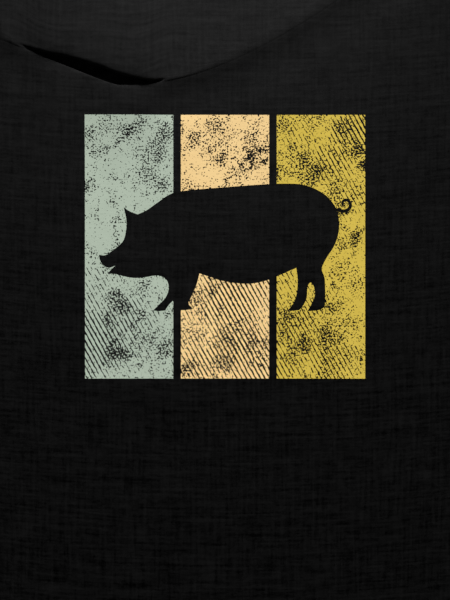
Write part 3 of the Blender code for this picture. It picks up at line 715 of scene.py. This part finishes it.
# Spun polyester: a little glossier than the cotton, so that a stitch catches the light.
thread, shader = material_of(
    "spun_polyester_thread", Base_Color=linear("#1b1b1c"), Roughness=0.45, Specular_IOR_Level=0.5
)
on_piece = add(thread, "ShaderNodeTexCoord", {}).outputs["Object"]
twist = add(thread, "ShaderNodeTexWave", {"Vector": on_piece, "Scale": 260.0, "Distortion": 1.0})
twist = twist.outputs["Fac"]
relief = add(thread, "ShaderNodeBump", {"Height": twist, "Strength": 0.4, "Distance": 0.0001})
wire(thread, shader, {"Normal": relief.outputs["Normal"]})


def sew(name, rows, lying_on, from_above=True):
    """Stitches along rows of points, each a short six-sided grain of thread that dips at both ends."""
    height = looking_at(lying_on, from_above)
    turns = np.arange(STITCH_SIDES) * math.tau / STITCH_SIDES
    outwards = 1 if from_above else -1
    points, faces = [], []
    for row in rows:
        total = np.linalg.norm(np.diff(row, axis=0), axis=1).sum()
        count = int(total / (STITCH + STITCH_GAP))
        middles = along(row[:, :2], (np.arange(count) + 0.5) / count)
        heading = np.gradient(middles, axis=0)
        heading /= np.linalg.norm(heading, axis=1, keepdims=True)
        for (x, y), (dx, dy) in zip(middles, heading):
            ends = [height(x + s * dx * STITCH / 2, y + s * dy * STITCH / 2) for s in (-1, 1)]
            if None in ends:
                continue
            start = len(points)
            for way, thick, proud in STITCH_RINGS:
                px, py = x + way * STITCH * dx, y + way * STITCH * dy
                pz = mix(ends[0], ends[1], way + 0.5) + outwards * proud
                for turn in turns:
                    side = THREAD_RADIUS * thick * math.cos(turn)
                    up = THREAD_RADIUS * thick * math.sin(turn)
                    points.append((px - side * dy, py + side * dx, pz + up))
            first, last = (range(at, at + STITCH_SIDES) for at in (start, len(points) - STITCH_SIDES))
            for ring in range(start, last[0], STITCH_SIDES):
                for k in range(STITCH_SIDES):
                    a, b = ring + k, ring + (k + 1) % STITCH_SIDES
                    faces.append((a, b, b + STITCH_SIDES, a + STITCH_SIDES))
            faces += [tuple(reversed(first)), tuple(last)]
    piece = new_piece(name, points, faces)
    piece.data.materials.append(thread)
    point_outwards(piece)
    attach(piece, "root")
    return piece


def level_rows(inset=0.004):
    """The two rows of the body's hem, on a line that keeps off its ends."""
    x = np.linspace(inset - HALF_HEM, HALF_HEM - inset, 200)
    return [np.stack([x, hem_y(x) + HEM_DEPTH - needle], axis=-1) for needle in NEEDLES]


hem_stitches = sew("front_hem_stitches", level_rows(), front)
sew("back_hem_stitches", level_rows(), back, from_above=False)
for side, (upper, under, rows, sleeve_flat) in zip(("left", "right"), sleeves):
    sew(f"{side}_cuff_stitches_upper", rows, upper)
    stitches = sew(f"{side}_cuff_stitches_under", rows, under, from_above=False)

# Neckband
#
# A strip of 1x1 rib, folded double and sewn round the neck a little stretched, so that it stands up. A
# real rib is about 1.4 mm across. It is drawn twice as wide, which still shows as ribs from a step away.

DOUBLED = 2 * CLOTH
BAND_WIDTH = 0.020
BAND_SIDE_LIFT = 0.008
RIB = 0.0028
RIB_HEIGHT = 0.00038
# Below 1, which makes the ribs full and the furrows between them narrow.
RIB_POWER = 0.7
# Rows of points across the band, in shares of its width.
BAND_ROWS = (0, 0.03, 0.08, 0.16, 0.35, 0.55, 0.75, 0.88, 0.95, 0.985, 1.0)
# How far its under face turns up at the free edge, and how much of its thickness is rounded off at the seam
# and at the free edge.
BAND_ROLL = 0.0006
SEAM_ROUNDING = 0.5
FREE_ROUNDING = 0.6

# Cotton rib: as matt a black as the jersey, but mottled in place of slubby. Each is size and weight.
MOTTLES = ((0.0018, 0.6), (0.02, 0.4))

rib_knit, shader = material_of("cotton_rib_knit", Roughness=0.9, Specular_IOR_Level=0.4)
on_cut = add(rib_knit, "ShaderNodeUVMap", {}, uv_map="cut").outputs["UV"]
yarns = weighed(rib_knit, [(noise_at(rib_knit, on_cut, size, size), weight) for size, weight in MOTTLES])
dye(rib_knit, shader, yarns, (JERSEY_DARK, "#0e0e0e"), (0.30, 0.70), strength=0.5, depth=0.0004)


def make_neckband(name, node, drop, on_front, steps=700):
    """Makes half of the band, of this drop. Gives the piece and its flat cut."""
    turn = np.linspace(0, np.pi, steps + 1)
    across = np.array(BAND_ROWS)[:, None]
    sine = np.abs(np.sin(turn)) ** NECK_POWER
    seam = neckline(drop, steps)
    inner = NECK_HALF - BAND_WIDTH * np.abs(np.cos(turn))
    rise = BAND_SIDE_LIFT * (1 - sine) + BAND_WIDTH * sine
    free = np.stack([-inner * np.cos(turn), seam[:, 1] + rise], axis=-1)
    off = free - seam
    start = seam + 1.5 * GAP * off / np.linalg.norm(off, axis=1, keepdims=True)
    flat = mix(start, free, across[..., None])
    height = 0 * across * turn
    if on_front:
        height = FRONT_Z + neck_lift(seam[:, 0]) * (1 + 0.15 * across * sine)
    way = np.concatenate(([0], np.cumsum(np.linalg.norm(np.diff(mix(seam, free, 0.5), axis=0), axis=1))))
    ribs = RIB_HEIGHT * np.abs(np.sin(np.pi * way / RIB)) ** RIB_POWER
    at_seam, at_free_edge = 1 - smooth(0, 0.10, across), 1 - smooth(0, 0.08, 1 - across)
    rounding = SEAM_ROUNDING * at_seam + FREE_ROUNDING * at_free_edge
    ribbed = smooth(0, 0.08, across) * smooth(0, 0.04, 1 - across)
    top = DOUBLED * (1 - rounding) + (ribs - RIB_HEIGHT / 2) * ribbed
    rolled = BAND_ROLL * (1 - smooth(0, 0.10, 1 - across)) + 0 * turn
    cut = np.stack([way + 0 * across, BAND_WIDTH * across + 0 * turn], axis=-1)
    from_free_edge = (rows[::-1] for rows in (raised(flat, height), cut, rolled, top))
    piece = cloth(name, *from_free_edge, rib_knit, smooth_angle=70)
    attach(piece, "root")
    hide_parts(node)
    return piece, cut


band_back, cut = make_neckband("back_neckband", "neckband_back", BACK_NECK_DROP, on_front=False)
band_front, cut = make_neckband("front_neckband", "neckband_front", FRONT_NECK_DROP, on_front=True)

# One row of stitches on the body, this far outside the seam, holds the seam allowance down. It keeps off
# the shoulders' seams.
NECK_STITCHES = 0.0024
line = neckline(FRONT_NECK_DROP, 160)
out = np.gradient(line, axis=0) @ np.array([[0, -1], [1, 0]])
out /= np.linalg.norm(out, axis=1, keepdims=True)
row = (line + NECK_STITCHES * out)[np.abs(line[:, 0]) < 0.995 * NECK_HALF]
neck_stitches = sew("neck_stitches", [row], front)

# Neck tape and label
#
# A strip of the same cotton covers the seam inside the back of the neck, sewn along both edges. Under it
# hangs a blank woven label, folded in at its ends.

TAPE_WIDTH = 0.010
TAPE_THICKNESS = 0.0004
TAPE_REACH = 0.097
TAPE_STITCHES = 0.0036
WALE = 0.0016
LABEL_WIDTH = 0.034
LABEL_DROP = 0.020
LABEL_THICKNESS = 0.0003
LABEL_CURL = 0.0012
# A wave texture of this scale repeats once in each unit of its place.
ONE_WAVE = 0.314

# Cotton twill: a softer, greyer black, with slanting wales 1.6 mm apart.
tape_cotton, shader = material_of("cotton_twill_tape", Roughness=0.8, Specular_IOR_Level=0.4)
on_cut = add(tape_cotton, "ShaderNodeUVMap", {}, uv_map="cut").outputs["UV"]
twill = add(
    tape_cotton,
    "ShaderNodeTexWave",
    {
        "Vector": add(
            tape_cotton,
            "ShaderNodeMapping",
            {"Vector": on_cut, "Rotation": (0, 0, math.radians(45)), "Scale": (1 / WALE,) * 3},
        ).outputs["Vector"],
        "Scale": ONE_WAVE,
        "Distortion": 0.6,
    },
).outputs["Fac"]
dye(tape_cotton, shader, twill, ("#161617", "#27272a"), (0, 1), strength=0.6, depth=0.0003)

line = neckline(BACK_NECK_DROP, 240)
line = line[np.abs(line[:, 0]) < TAPE_REACH]
# From the panel up on to the thicker band: way across the tape, height.
TAPE_SECTION = np.array([
    (-TAPE_WIDTH / 2, FRONT_Z),
    (-TAPE_WIDTH / 4, FRONT_Z),
    (-0.0012, FRONT_Z + 0.0001),
    (-GAP, DOUBLED + GAP),
    (TAPE_WIDTH / 5, DOUBLED + 2 * GAP),
    (TAPE_WIDTH / 2, DOUBLED + 2 * GAP),
])
off, height = TAPE_SECTION[:, :1], TAPE_SECTION[:, 1:]
place = raised(line + off[..., None] * np.array([0, 1]), height + 0 * line[:, 0])
cut = np.stack([line[:, 0] + 0 * off, off + 0 * line[:, 0]], axis=-1)
tape = cloth("tape", place[::-1], cut[::-1], 0.0, TAPE_THICKNESS, tape_cotton)
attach(tape, "root")
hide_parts("neck_tape")
tape_stitches = sew("tape_stitches", [line - (0, TAPE_STITCHES), line + (0, TAPE_STITCHES)], tape)

# Woven satin: a plain grey, smooth and softly shiny along its level threads.
satin, shader = material_of("woven_polyester_satin", Roughness=0.38, Specular_IOR_Level=0.5)
on_cut = add(satin, "ShaderNodeUVMap", {}, uv_map="cut").outputs["UV"]
weave = noise_at(satin, on_cut, 0.006, 0.0006)
dye(satin, shader, weave, ("#7c7c80", "#9a9a9e"), (0, 1), strength=0.4, depth=0.0002)

across, down = np.linspace(-0.5, 0.5, 25), np.linspace(0, 1, 15)[:, None]
x = across * LABEL_WIDTH + 0 * down
y = SHOULDER_Y - BACK_NECK_DROP - TAPE_WIDTH / 2 - GAP - down * LABEL_DROP + 0 * across
z = FRONT_Z + LABEL_CURL * down**2 * (0.4 + 2.4 * across**2)
place = np.stack([x, y, z], axis=-1)
folded_ends = LABEL_THICKNESS * smooth(0.40, 0.43, np.abs(across)) + 0 * down
label = cloth("label", place, place[..., :2], 0.0, LABEL_THICKNESS + folded_ends, satin)
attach(label, "root")
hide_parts("neck_label")

# Print
#
# Three upright bars of matt plastisol ink, screen-printed on the chest, with a pig's outline left open
# across them. The screen is made to look worn: specks in clumps, rubbed places and slanting scratches,
# where the cloth shows.

BAR_WIDTH = 0.082
BAR_SPACE = 0.007
BAR_TOP_Y = SHOULDER_Y - 0.2318
BAR_LENGTH = 0.2447
PIG_LENGTH = 0.222
PIG_HEIGHT = 0.118
PIG_NOSE_X = -0.117
PIG_FEET_Y = SHOULDER_Y - 0.4140
INK_CLEAR = 0.00008
INK = 0.00012
# How many fields a bar is divided into, so that it bends with the cloth.
BAR_FIELDS = (44, 128)

# The pig's outline by parts, in thousandths of its length from the nose and of its height from the feet.
# Each part starts at a sharp corner, and the line is smooth up to the next.
PIG_PARTS = (
    # snout, forehead and ear
    ((0, 445), (24, 440), (48, 465), (98, 545), (112, 625), (115, 710)),
    ((104, 815), (130, 785)),
    # neck, back and rump
    (
        (162, 762), (200, 795), (245, 855), (300, 922), (370, 950), (530, 976), (680, 997), (780, 1004),
        (850, 996), (912, 955), (966, 880), (998, 770), (1003, 640), (985, 520), (950, 415), (932, 335),
        (944, 255), (946, 120),
    ),
    # hind legs
    ((945, 45), (925, 12)),
    ((872, 0), (886, 48), (902, 120), (899, 190), (885, 226), (872, 190), (869, 110), (856, 52)),
    ((838, 10), (815, 4)),
    ((790, 8), (812, 60), (827, 140), (831, 250)),
    # belly
    ((825, 342), (765, 292), (700, 242), (620, 216), (520, 238), (465, 270)),
    # fore legs
    ((420, 298), (408, 210), (388, 120), (374, 62)),
    ((394, 20), (365, 10)),
    ((332, 8), (322, 50)),
    ((308, 82), (290, 45)),
    ((277, 6), (252, 2)),
    (
        (226, 6), (253, 55), (281, 115), (292, 190), (280, 252), (245, 282), (200, 270), (150, 262),
        (105, 275), (70, 292),
    ),
    # jaw and mouth
    ((36, 296), (52, 330)),
    ((69, 360), (46, 344), (24, 353), (6, 395)),
)
TAIL_MIDDLE = (1.030, 0.839)
# Half the tail's thickness at its root, and how much thinner it is at its tip.
TAIL_HALF = 0.0080
TAIL_THINS = 0.0035
# How the tail curls up: turn in degrees, and way from its middle, a share of the pig's length too.
TAIL = np.array([(205, 0.0377), (270, 0.0264), (360, 0.0209), (450, 0.0192), (540, 0.0110), (580, 0.0065)])


def rounded(points, steps=8):
    """A smooth open line through these points."""
    out = []
    for i in range(len(points) - 1):
        a, b, c, d = (np.array(points[min(max(i + k, 0), len(points) - 1)]) for k in (-1, 0, 1, 2))
        for s in np.linspace(0, 1, steps, endpoint=False):
            bend, twist = 2 * a - 5 * b + 4 * c - d, 3 * b - a - 3 * c + d
            out.append((2 * b + (c - a) * s + bend * s**2 + twist * s**3) / 2)
    return out


def block(name, shares):
    """An upright block with this outline, given in shares of the pig's length and height."""
    points = [(PIG_NOSE_X + x * PIG_LENGTH, PIG_FEET_Y + y * PIG_HEIGHT, 0) for x, y in shares]
    piece = new_piece(name, points, [tuple(range(len(points)))])
    wall = piece.modifiers.new("wall", "SOLIDIFY")
    wall.thickness, wall.offset = 0.02, 0.0
    pick(piece)
    bpy.ops.object.modifier_apply(modifier="wall")
    return piece


outline = []
for part, next_part in zip(PIG_PARTS, PIG_PARTS[1:] + PIG_PARTS[:1]):
    outline += rounded([(x / 1000, y / 1000) for x, y in (*part, next_part[0])])
pig = block("pig", outline)
turn = np.linspace(TAIL[0, 0], TAIL[-1, 0], 60)
radius = spline(TAIL, turn, 1)
half = TAIL_HALF - TAIL_THINS * (turn - TAIL[0, 0]) / np.ptp(turn)
to_height = PIG_LENGTH / PIG_HEIGHT
curl = [
    (TAIL_MIDDLE[0] + r * math.cos(t), TAIL_MIDDLE[1] + to_height * r * math.sin(t))
    for t, r in [*zip(np.radians(turn), radius + half), *list(zip(np.radians(turn), radius - half))[::-1]]
]
tail = block("tail", curl)

on_front = looking_at(front, from_above=True)

# Rubbed places: middle in millimetres from the print's own middle, reach in millimetres, and strength.
RUBS = (
    (-90, 108, 12, 0.78), (-70, 90, 10, 0.60), (-56, 105, 14, 0.75), (-60, 86, 12, 0.68),
    (-126, 104, 10, 0.62), (-121, 88, 10, 0.58), (-130, 58, 7, 0.92), (-110, 112, 10, 0.50),
    (-74, 70, 14, 0.60), (-58, 58, 10, 0.68), (-100, -98, 13, 0.90), (-60, -96, 12, 0.65),
    (-96, -52, 13, 0.75), (-76, -36, 12, 0.60), (-70, -86, 16, 0.45), (24, 83, 10, 1.15),
    (32, 90, 9, 0.90), (16, 74, 7, 0.85), (-4, 82, 9, 0.80), (-6, 112, 10, 0.70), (-4, 97, 8, 0.60),
    (-28, 101, 10, 0.70), (-14, 90, 9, 0.55), (26, 102, 11, 0.70), (10, 68, 9, 0.55),
    (-34, 58, 10, 0.50), (0, -86, 12, 0.70), (-4, -108, 11, 0.75), (-26, -48, 12, 0.60),
    (-36, -112, 9, 0.75), (24, -92, 9, 0.65), (-30, -80, 14, 0.50), (10, -76, 14, 0.50),
    (74, 82, 12, 0.80), (83, 68, 13, 0.80), (70, 66, 9, 0.70), (124, 90, 11, 0.95), (130, 74, 9, 1.05),
    (108, 112, 9, 0.75), (54, 112, 12, 0.65), (48, 72, 7, 0.80), (102, 50, 14, 0.65),
    (120, 8, 10, 0.90), (122, -34, 12, 0.55), (108, -20, 12, 0.50), (58, -64, 12, 0.75),
    (54, -80, 11, 0.70), (98, -56, 10, 0.75), (94, -82, 17, 0.80), (64, -102, 12, 0.60),
    (94, -106, 11, 0.55), (112, -70, 12, 0.55), (116, -98, 12, 0.45),
)
# Scratched places: the same.
SCRATCHES = (
    (-122, -85, 60, 1.00), (-96, -70, 50, 0.85), (-118, -30, 30, 0.60), (-66, -105, 24, 0.45),
    (6, -50, 50, 1.10), (14, -94, 50, 1.10), (-22, -105, 40, 0.95), (34, -110, 36, 1.00),
    (-30, -60, 34, 0.65), (124, 108, 28, 1.15), (100, 80, 34, 0.85), (68, 106, 34, 0.60),
    (116, 46, 34, 0.75), (70, -70, 46, 0.80), (100, -108, 44, 0.85), (56, -110, 34, 0.80),
    (110, 10, 30, 0.50), (90, -50, 36, 0.60), (28, 104, 20, 0.35), (-30, 104, 20, 0.35),
)
RUBS_RAGGED = 0.9
SCRATCHES_RAGGED = 0.4
# Besides the rubbed places, specks gather along winding veins, more in some parts than in others: the sizes
# of the veins' bends, of the gaps in them and of those parts, and their strength.
VEIN_SIZES = (0.026, 0.011)
VEIN_GAPS = 0.008
VEIN_PARTS = 0.040
VEIN_STRENGTH = 0.62
PRINT_Y = BAR_TOP_Y - BAR_LENGTH / 2


def spots(x, y, places, ragged):
    """How strongly a place lies within any of these spots, whose edges are this ragged."""
    total = 0
    for *sizes, strength in places:
        px, py, reach = (size / 1000 for size in sizes)
        coarse, fine = wander(x, y, reach * 0.8, px * 90), wander(x, y, reach * 0.35, py * 90)
        uneven = 1 + ragged * (coarse + 0.8 * fine)
        away = np.hypot(x - px, y - PRINT_Y - py) / reach
        total = np.maximum(total, strength * smooth(1.5, 0.0, away * uneven))
    return total


def make_bar(name, ink, place, nodes):
    """One bar, cut to the pig, laid on the cloth and marked with how worn it is."""
    bpy.ops.object.select_all(action="DESELECT")
    bpy.ops.mesh.primitive_grid_add(
        x_subdivisions=BAR_FIELDS[0],
        y_subdivisions=BAR_FIELDS[1],
        size=1,
        location=(place * (BAR_WIDTH + BAR_SPACE), PRINT_Y, 0),
    )
    bar = bpy.context.object
    bar.name = name
    bar.scale = (BAR_WIDTH, BAR_LENGTH, 1)
    bpy.ops.object.transform_apply(location=True, rotation=True, scale=True)
    film = bar.modifiers.new("film", "SOLIDIFY")
    film.thickness, film.offset = INK, 1.0
    for shape in (pig, tail):
        cut = bar.modifiers.new(shape.name, "BOOLEAN")
        cut.operation, cut.object = "DIFFERENCE", shape
    for modifier in list(bar.modifiers):
        bpy.ops.object.modifier_apply(modifier=modifier.name)
    mesh = bar.data
    places = np.empty(len(mesh.vertices) * 3)
    mesh.vertices.foreach_get("co", places)
    places = places.reshape(-1, 3)
    x, y = places[:, 0], places[:, 1]
    places[:, 2] += np.vectorize(on_front)(x, y) + INK_CLEAR
    mesh.vertices.foreach_set("co", places.ravel())
    veins = 1 - np.abs(wander(x, y, VEIN_SIZES[0], 4.2) + 0.5 * wander(x, y, VEIN_SIZES[1], 6.4)) * 5.0
    clumps = smooth(-0.2, 1.1, veins + 0.8 * wander(x, y, VEIN_GAPS, 9.1))
    clumps = clumps * smooth(-0.45, 0.35, wander(x, y, VEIN_PARTS, 2.2))
    rubbed = np.maximum(spots(x, y, RUBS, RUBS_RAGGED), VEIN_STRENGTH * clumps)
    scratched = spots(x, y, SCRATCHES, SCRATCHES_RAGGED)
    for key, values in (("rubbed", rubbed), ("scratched", scratched)):
        attribute = mesh.attributes.new(key, "FLOAT", "POINT")
        attribute.data.foreach_set("value", np.asarray(values, np.float32))
    mesh.materials.clear()
    mesh.materials.append(ink)
    point_outwards(bar, 30)
    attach(bar, "root")
    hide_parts(*nodes)
    return bar


# Matt plastisol: opaque and flat, with the grain of the cloth just showing through. Where it is worn off,
# the cloth's black shows. The specks come from noise of this size, and the scratches are dashes on lines
# with this spacing, 29 degrees off upright. The ink is aged in patches.
SPECK = 0.0016
SCRATCH_SPACING = 0.0038
SCRATCH_DASH = (0.0018, 0.0036)
SCRATCH_ANGLE = math.radians(29)
PATCH = 0.025
# The cloth's level and upright grain under the ink, as length and width.
LEVEL_GRAIN = (0.035, 0.0026)
UPRIGHT_GRAIN = (0.0024, 0.035)


def matt_ink(name, clean, aged):
    """An ink of this colour, worn where its piece's attributes say that it is rubbed or scratched."""
    ink, shader = material_of(name, Roughness=0.7, Specular_IOR_Level=0.25)
    place = add(ink, "ShaderNodeTexCoord", {}).outputs["Object"]
    rubbed = add(ink, "ShaderNodeAttribute", {}, attribute_name="rubbed").outputs["Fac"]
    scratched = add(ink, "ShaderNodeAttribute", {}, attribute_name="scratched").outputs["Fac"]
    grains = noise_at(ink, place, SPECK, SPECK, detail=1.0)
    specks = add(
        ink,
        "ShaderNodeMapRange",
        {"Value": weighed(ink, [(grains, 1.0), (rubbed, 0.30)]), "From Min": 0.670, "From Max": 0.700},
    ).outputs["Result"]
    slanted = add(
        ink,
        "ShaderNodeMapping",
        {"Vector": place, "Rotation": (0, 0, SCRATCH_ANGLE), "Scale": (SCRATCH_SPACING, 0.03, 1)},
        vector_type="TEXTURE",
    ).outputs["Vector"]
    lines = add(
        ink,
        "ShaderNodeTexWave",
        {"Vector": slanted, "Scale": ONE_WAVE, "Distortion": 0.5, "Detail": 1.0, "Detail Scale": 2.0},
    ).outputs["Fac"]
    dashes = noise_at(ink, place, *SCRATCH_DASH, detail=1.0, turn=SCRATCH_ANGLE)
    on_lines = weighed(ink, [(lines, 0.50), (scratched, 0.34), (dashes, 0.60)])
    scratches = add(
        ink,
        "ShaderNodeMapRange",
        {"Value": on_lines, "From Min": 0.95, "From Max": 1.00},
    ).outputs["Result"]
    bare = add(ink, "ShaderNodeMath", {0: specks, 1: scratches}, operation="MAXIMUM").outputs[0]
    patches = weighed(ink, [(noise_at(ink, place, PATCH, PATCH), 0.4)])
    worn = add(ink, "ShaderNodeMath", {0: bare, 1: patches}, operation="MAXIMUM").outputs[0]
    tone = add(ink, "ShaderNodeValToRGB", {"Fac": worn})
    ramp = tone.color_ramp
    ramp.elements[0].position, ramp.elements[0].color = 0.10, linear(clean)
    ramp.elements[1].position, ramp.elements[1].color = 0.90, linear(JERSEY_LIGHT)
    ramp.elements.new(0.30).color = linear(aged)
    level, upright = (noise_at(ink, place, *grain) for grain in (LEVEL_GRAIN, UPRIGHT_GRAIN))
    cloth_grain = weighed(ink, [(level, 0.5), (upright, 0.3), (bare, -0.6)])
    relief = add(ink, "ShaderNodeBump", {"Height": cloth_grain, "Strength": 0.4, "Distance": 0.0003})
    wire(ink, shader, {"Base Color": tone.outputs["Color"], "Normal": relief.outputs["Normal"]})
    return ink


# From the right: each ink's name, its colour clean and aged, and the nodes that its bar stands for.
INKS = (
    ("sage", "#afbcab", "#a9b6a5", "print_sage"),
    ("peach", "#f4d294", "#eeca8c", "print_peach_upper", "print_peach_lower"),
    ("mustard", "#d3b94f", "#ccb248", "print_mustard"),
)
for place, (name, clean, aged, *nodes) in enumerate(INKS, -1):
    ink = matt_ink(f"{name}_plastisol", clean, aged)
    make_bar(f"{name}_bar", ink, place, nodes)
for shape in (pig, tail):
    bpy.data.objects.remove(shape)

# Studio
#
# A pale table, a tall window's soft light from beyond the neck, and a strip of light low over the shirt
# for the cloth's sheen. The camera looks straight down, and frames what the photo does.

TABLE_SIZE = 14
# Under the stitches of the back, which reach below the cloth.
TABLE_Z = -0.0004
# The photo's top edge below the high point of the shoulder, and its height.
VIEW_DROP = 0.125
VIEW_HEIGHT = 0.5571
VIEW_Y = SHOULDER_Y - VIEW_DROP - VIEW_HEIGHT / 2
CAMERA_Z = 1.6
PRINT_Z = 0.002

# Painted board: pale and matt, so that the shirt's edge stands out and shadows on it are soft.
floor_material, shader = material_of("pale_matt_board", Roughness=0.9, Base_Color=linear("#d9d7d3"))
bpy.ops.object.select_all(action="DESELECT")
bpy.ops.mesh.primitive_plane_add(size=TABLE_SIZE, location=(0, 0, TABLE_Z))
floor = bpy.context.object
floor.name = "table"
floor.data.materials.append(floor_material)

world = bpy.data.worlds.new("studio")
world.use_nodes = True
background = world.node_tree.nodes["Background"]
background.inputs["Color"].default_value = linear("#e8e8e8")
background.inputs["Strength"].default_value = 0.15
world.cycles_visibility.glossy = False
bpy.context.scene.world = world


def softbox(name, place, aim, width, height, watts, glossy):
    """A soft light that only makes sheen, where it is glossy, or only lights the matt surfaces."""
    data = bpy.data.lights.new(name, "AREA")
    data.shape, data.size, data.size_y, data.energy = "RECTANGLE", width, height, watts
    lamp = bpy.data.objects.new(name, data)
    lamp.location = place
    lamp.rotation_euler = (Vector(aim) - Vector(place)).to_track_quat("-Z", "Y").to_euler()
    lamp.visible_camera = False
    lamp.visible_glossy = glossy
    lamp.visible_diffuse = not glossy
    bpy.context.scene.collection.objects.link(lamp)


softbox("window", (0, 8.2, 5.7), (0, 0, 0), 3.0, 3.0, watts=1600, glossy=False)
softbox("strip", (-0.02, 0.42, 0.18), (-0.02, 0.10, 0), 0.32, 0.10, watts=0.98, glossy=True)

camera_data = bpy.data.cameras.new("camera")
camera = bpy.data.objects.new("camera", camera_data)
bpy.context.scene.collection.objects.link(camera)
camera.location = (0, VIEW_Y, CAMERA_Z)
camera_data.sensor_fit = "AUTO"
camera_data.lens = camera_data.sensor_width * (CAMERA_Z - PRINT_Z) / VIEW_HEIGHT
camera_data.clip_start = 0.05
bpy.context.scene.camera = camera
bpy.context.scene.view_settings.view_transform = "Standard"
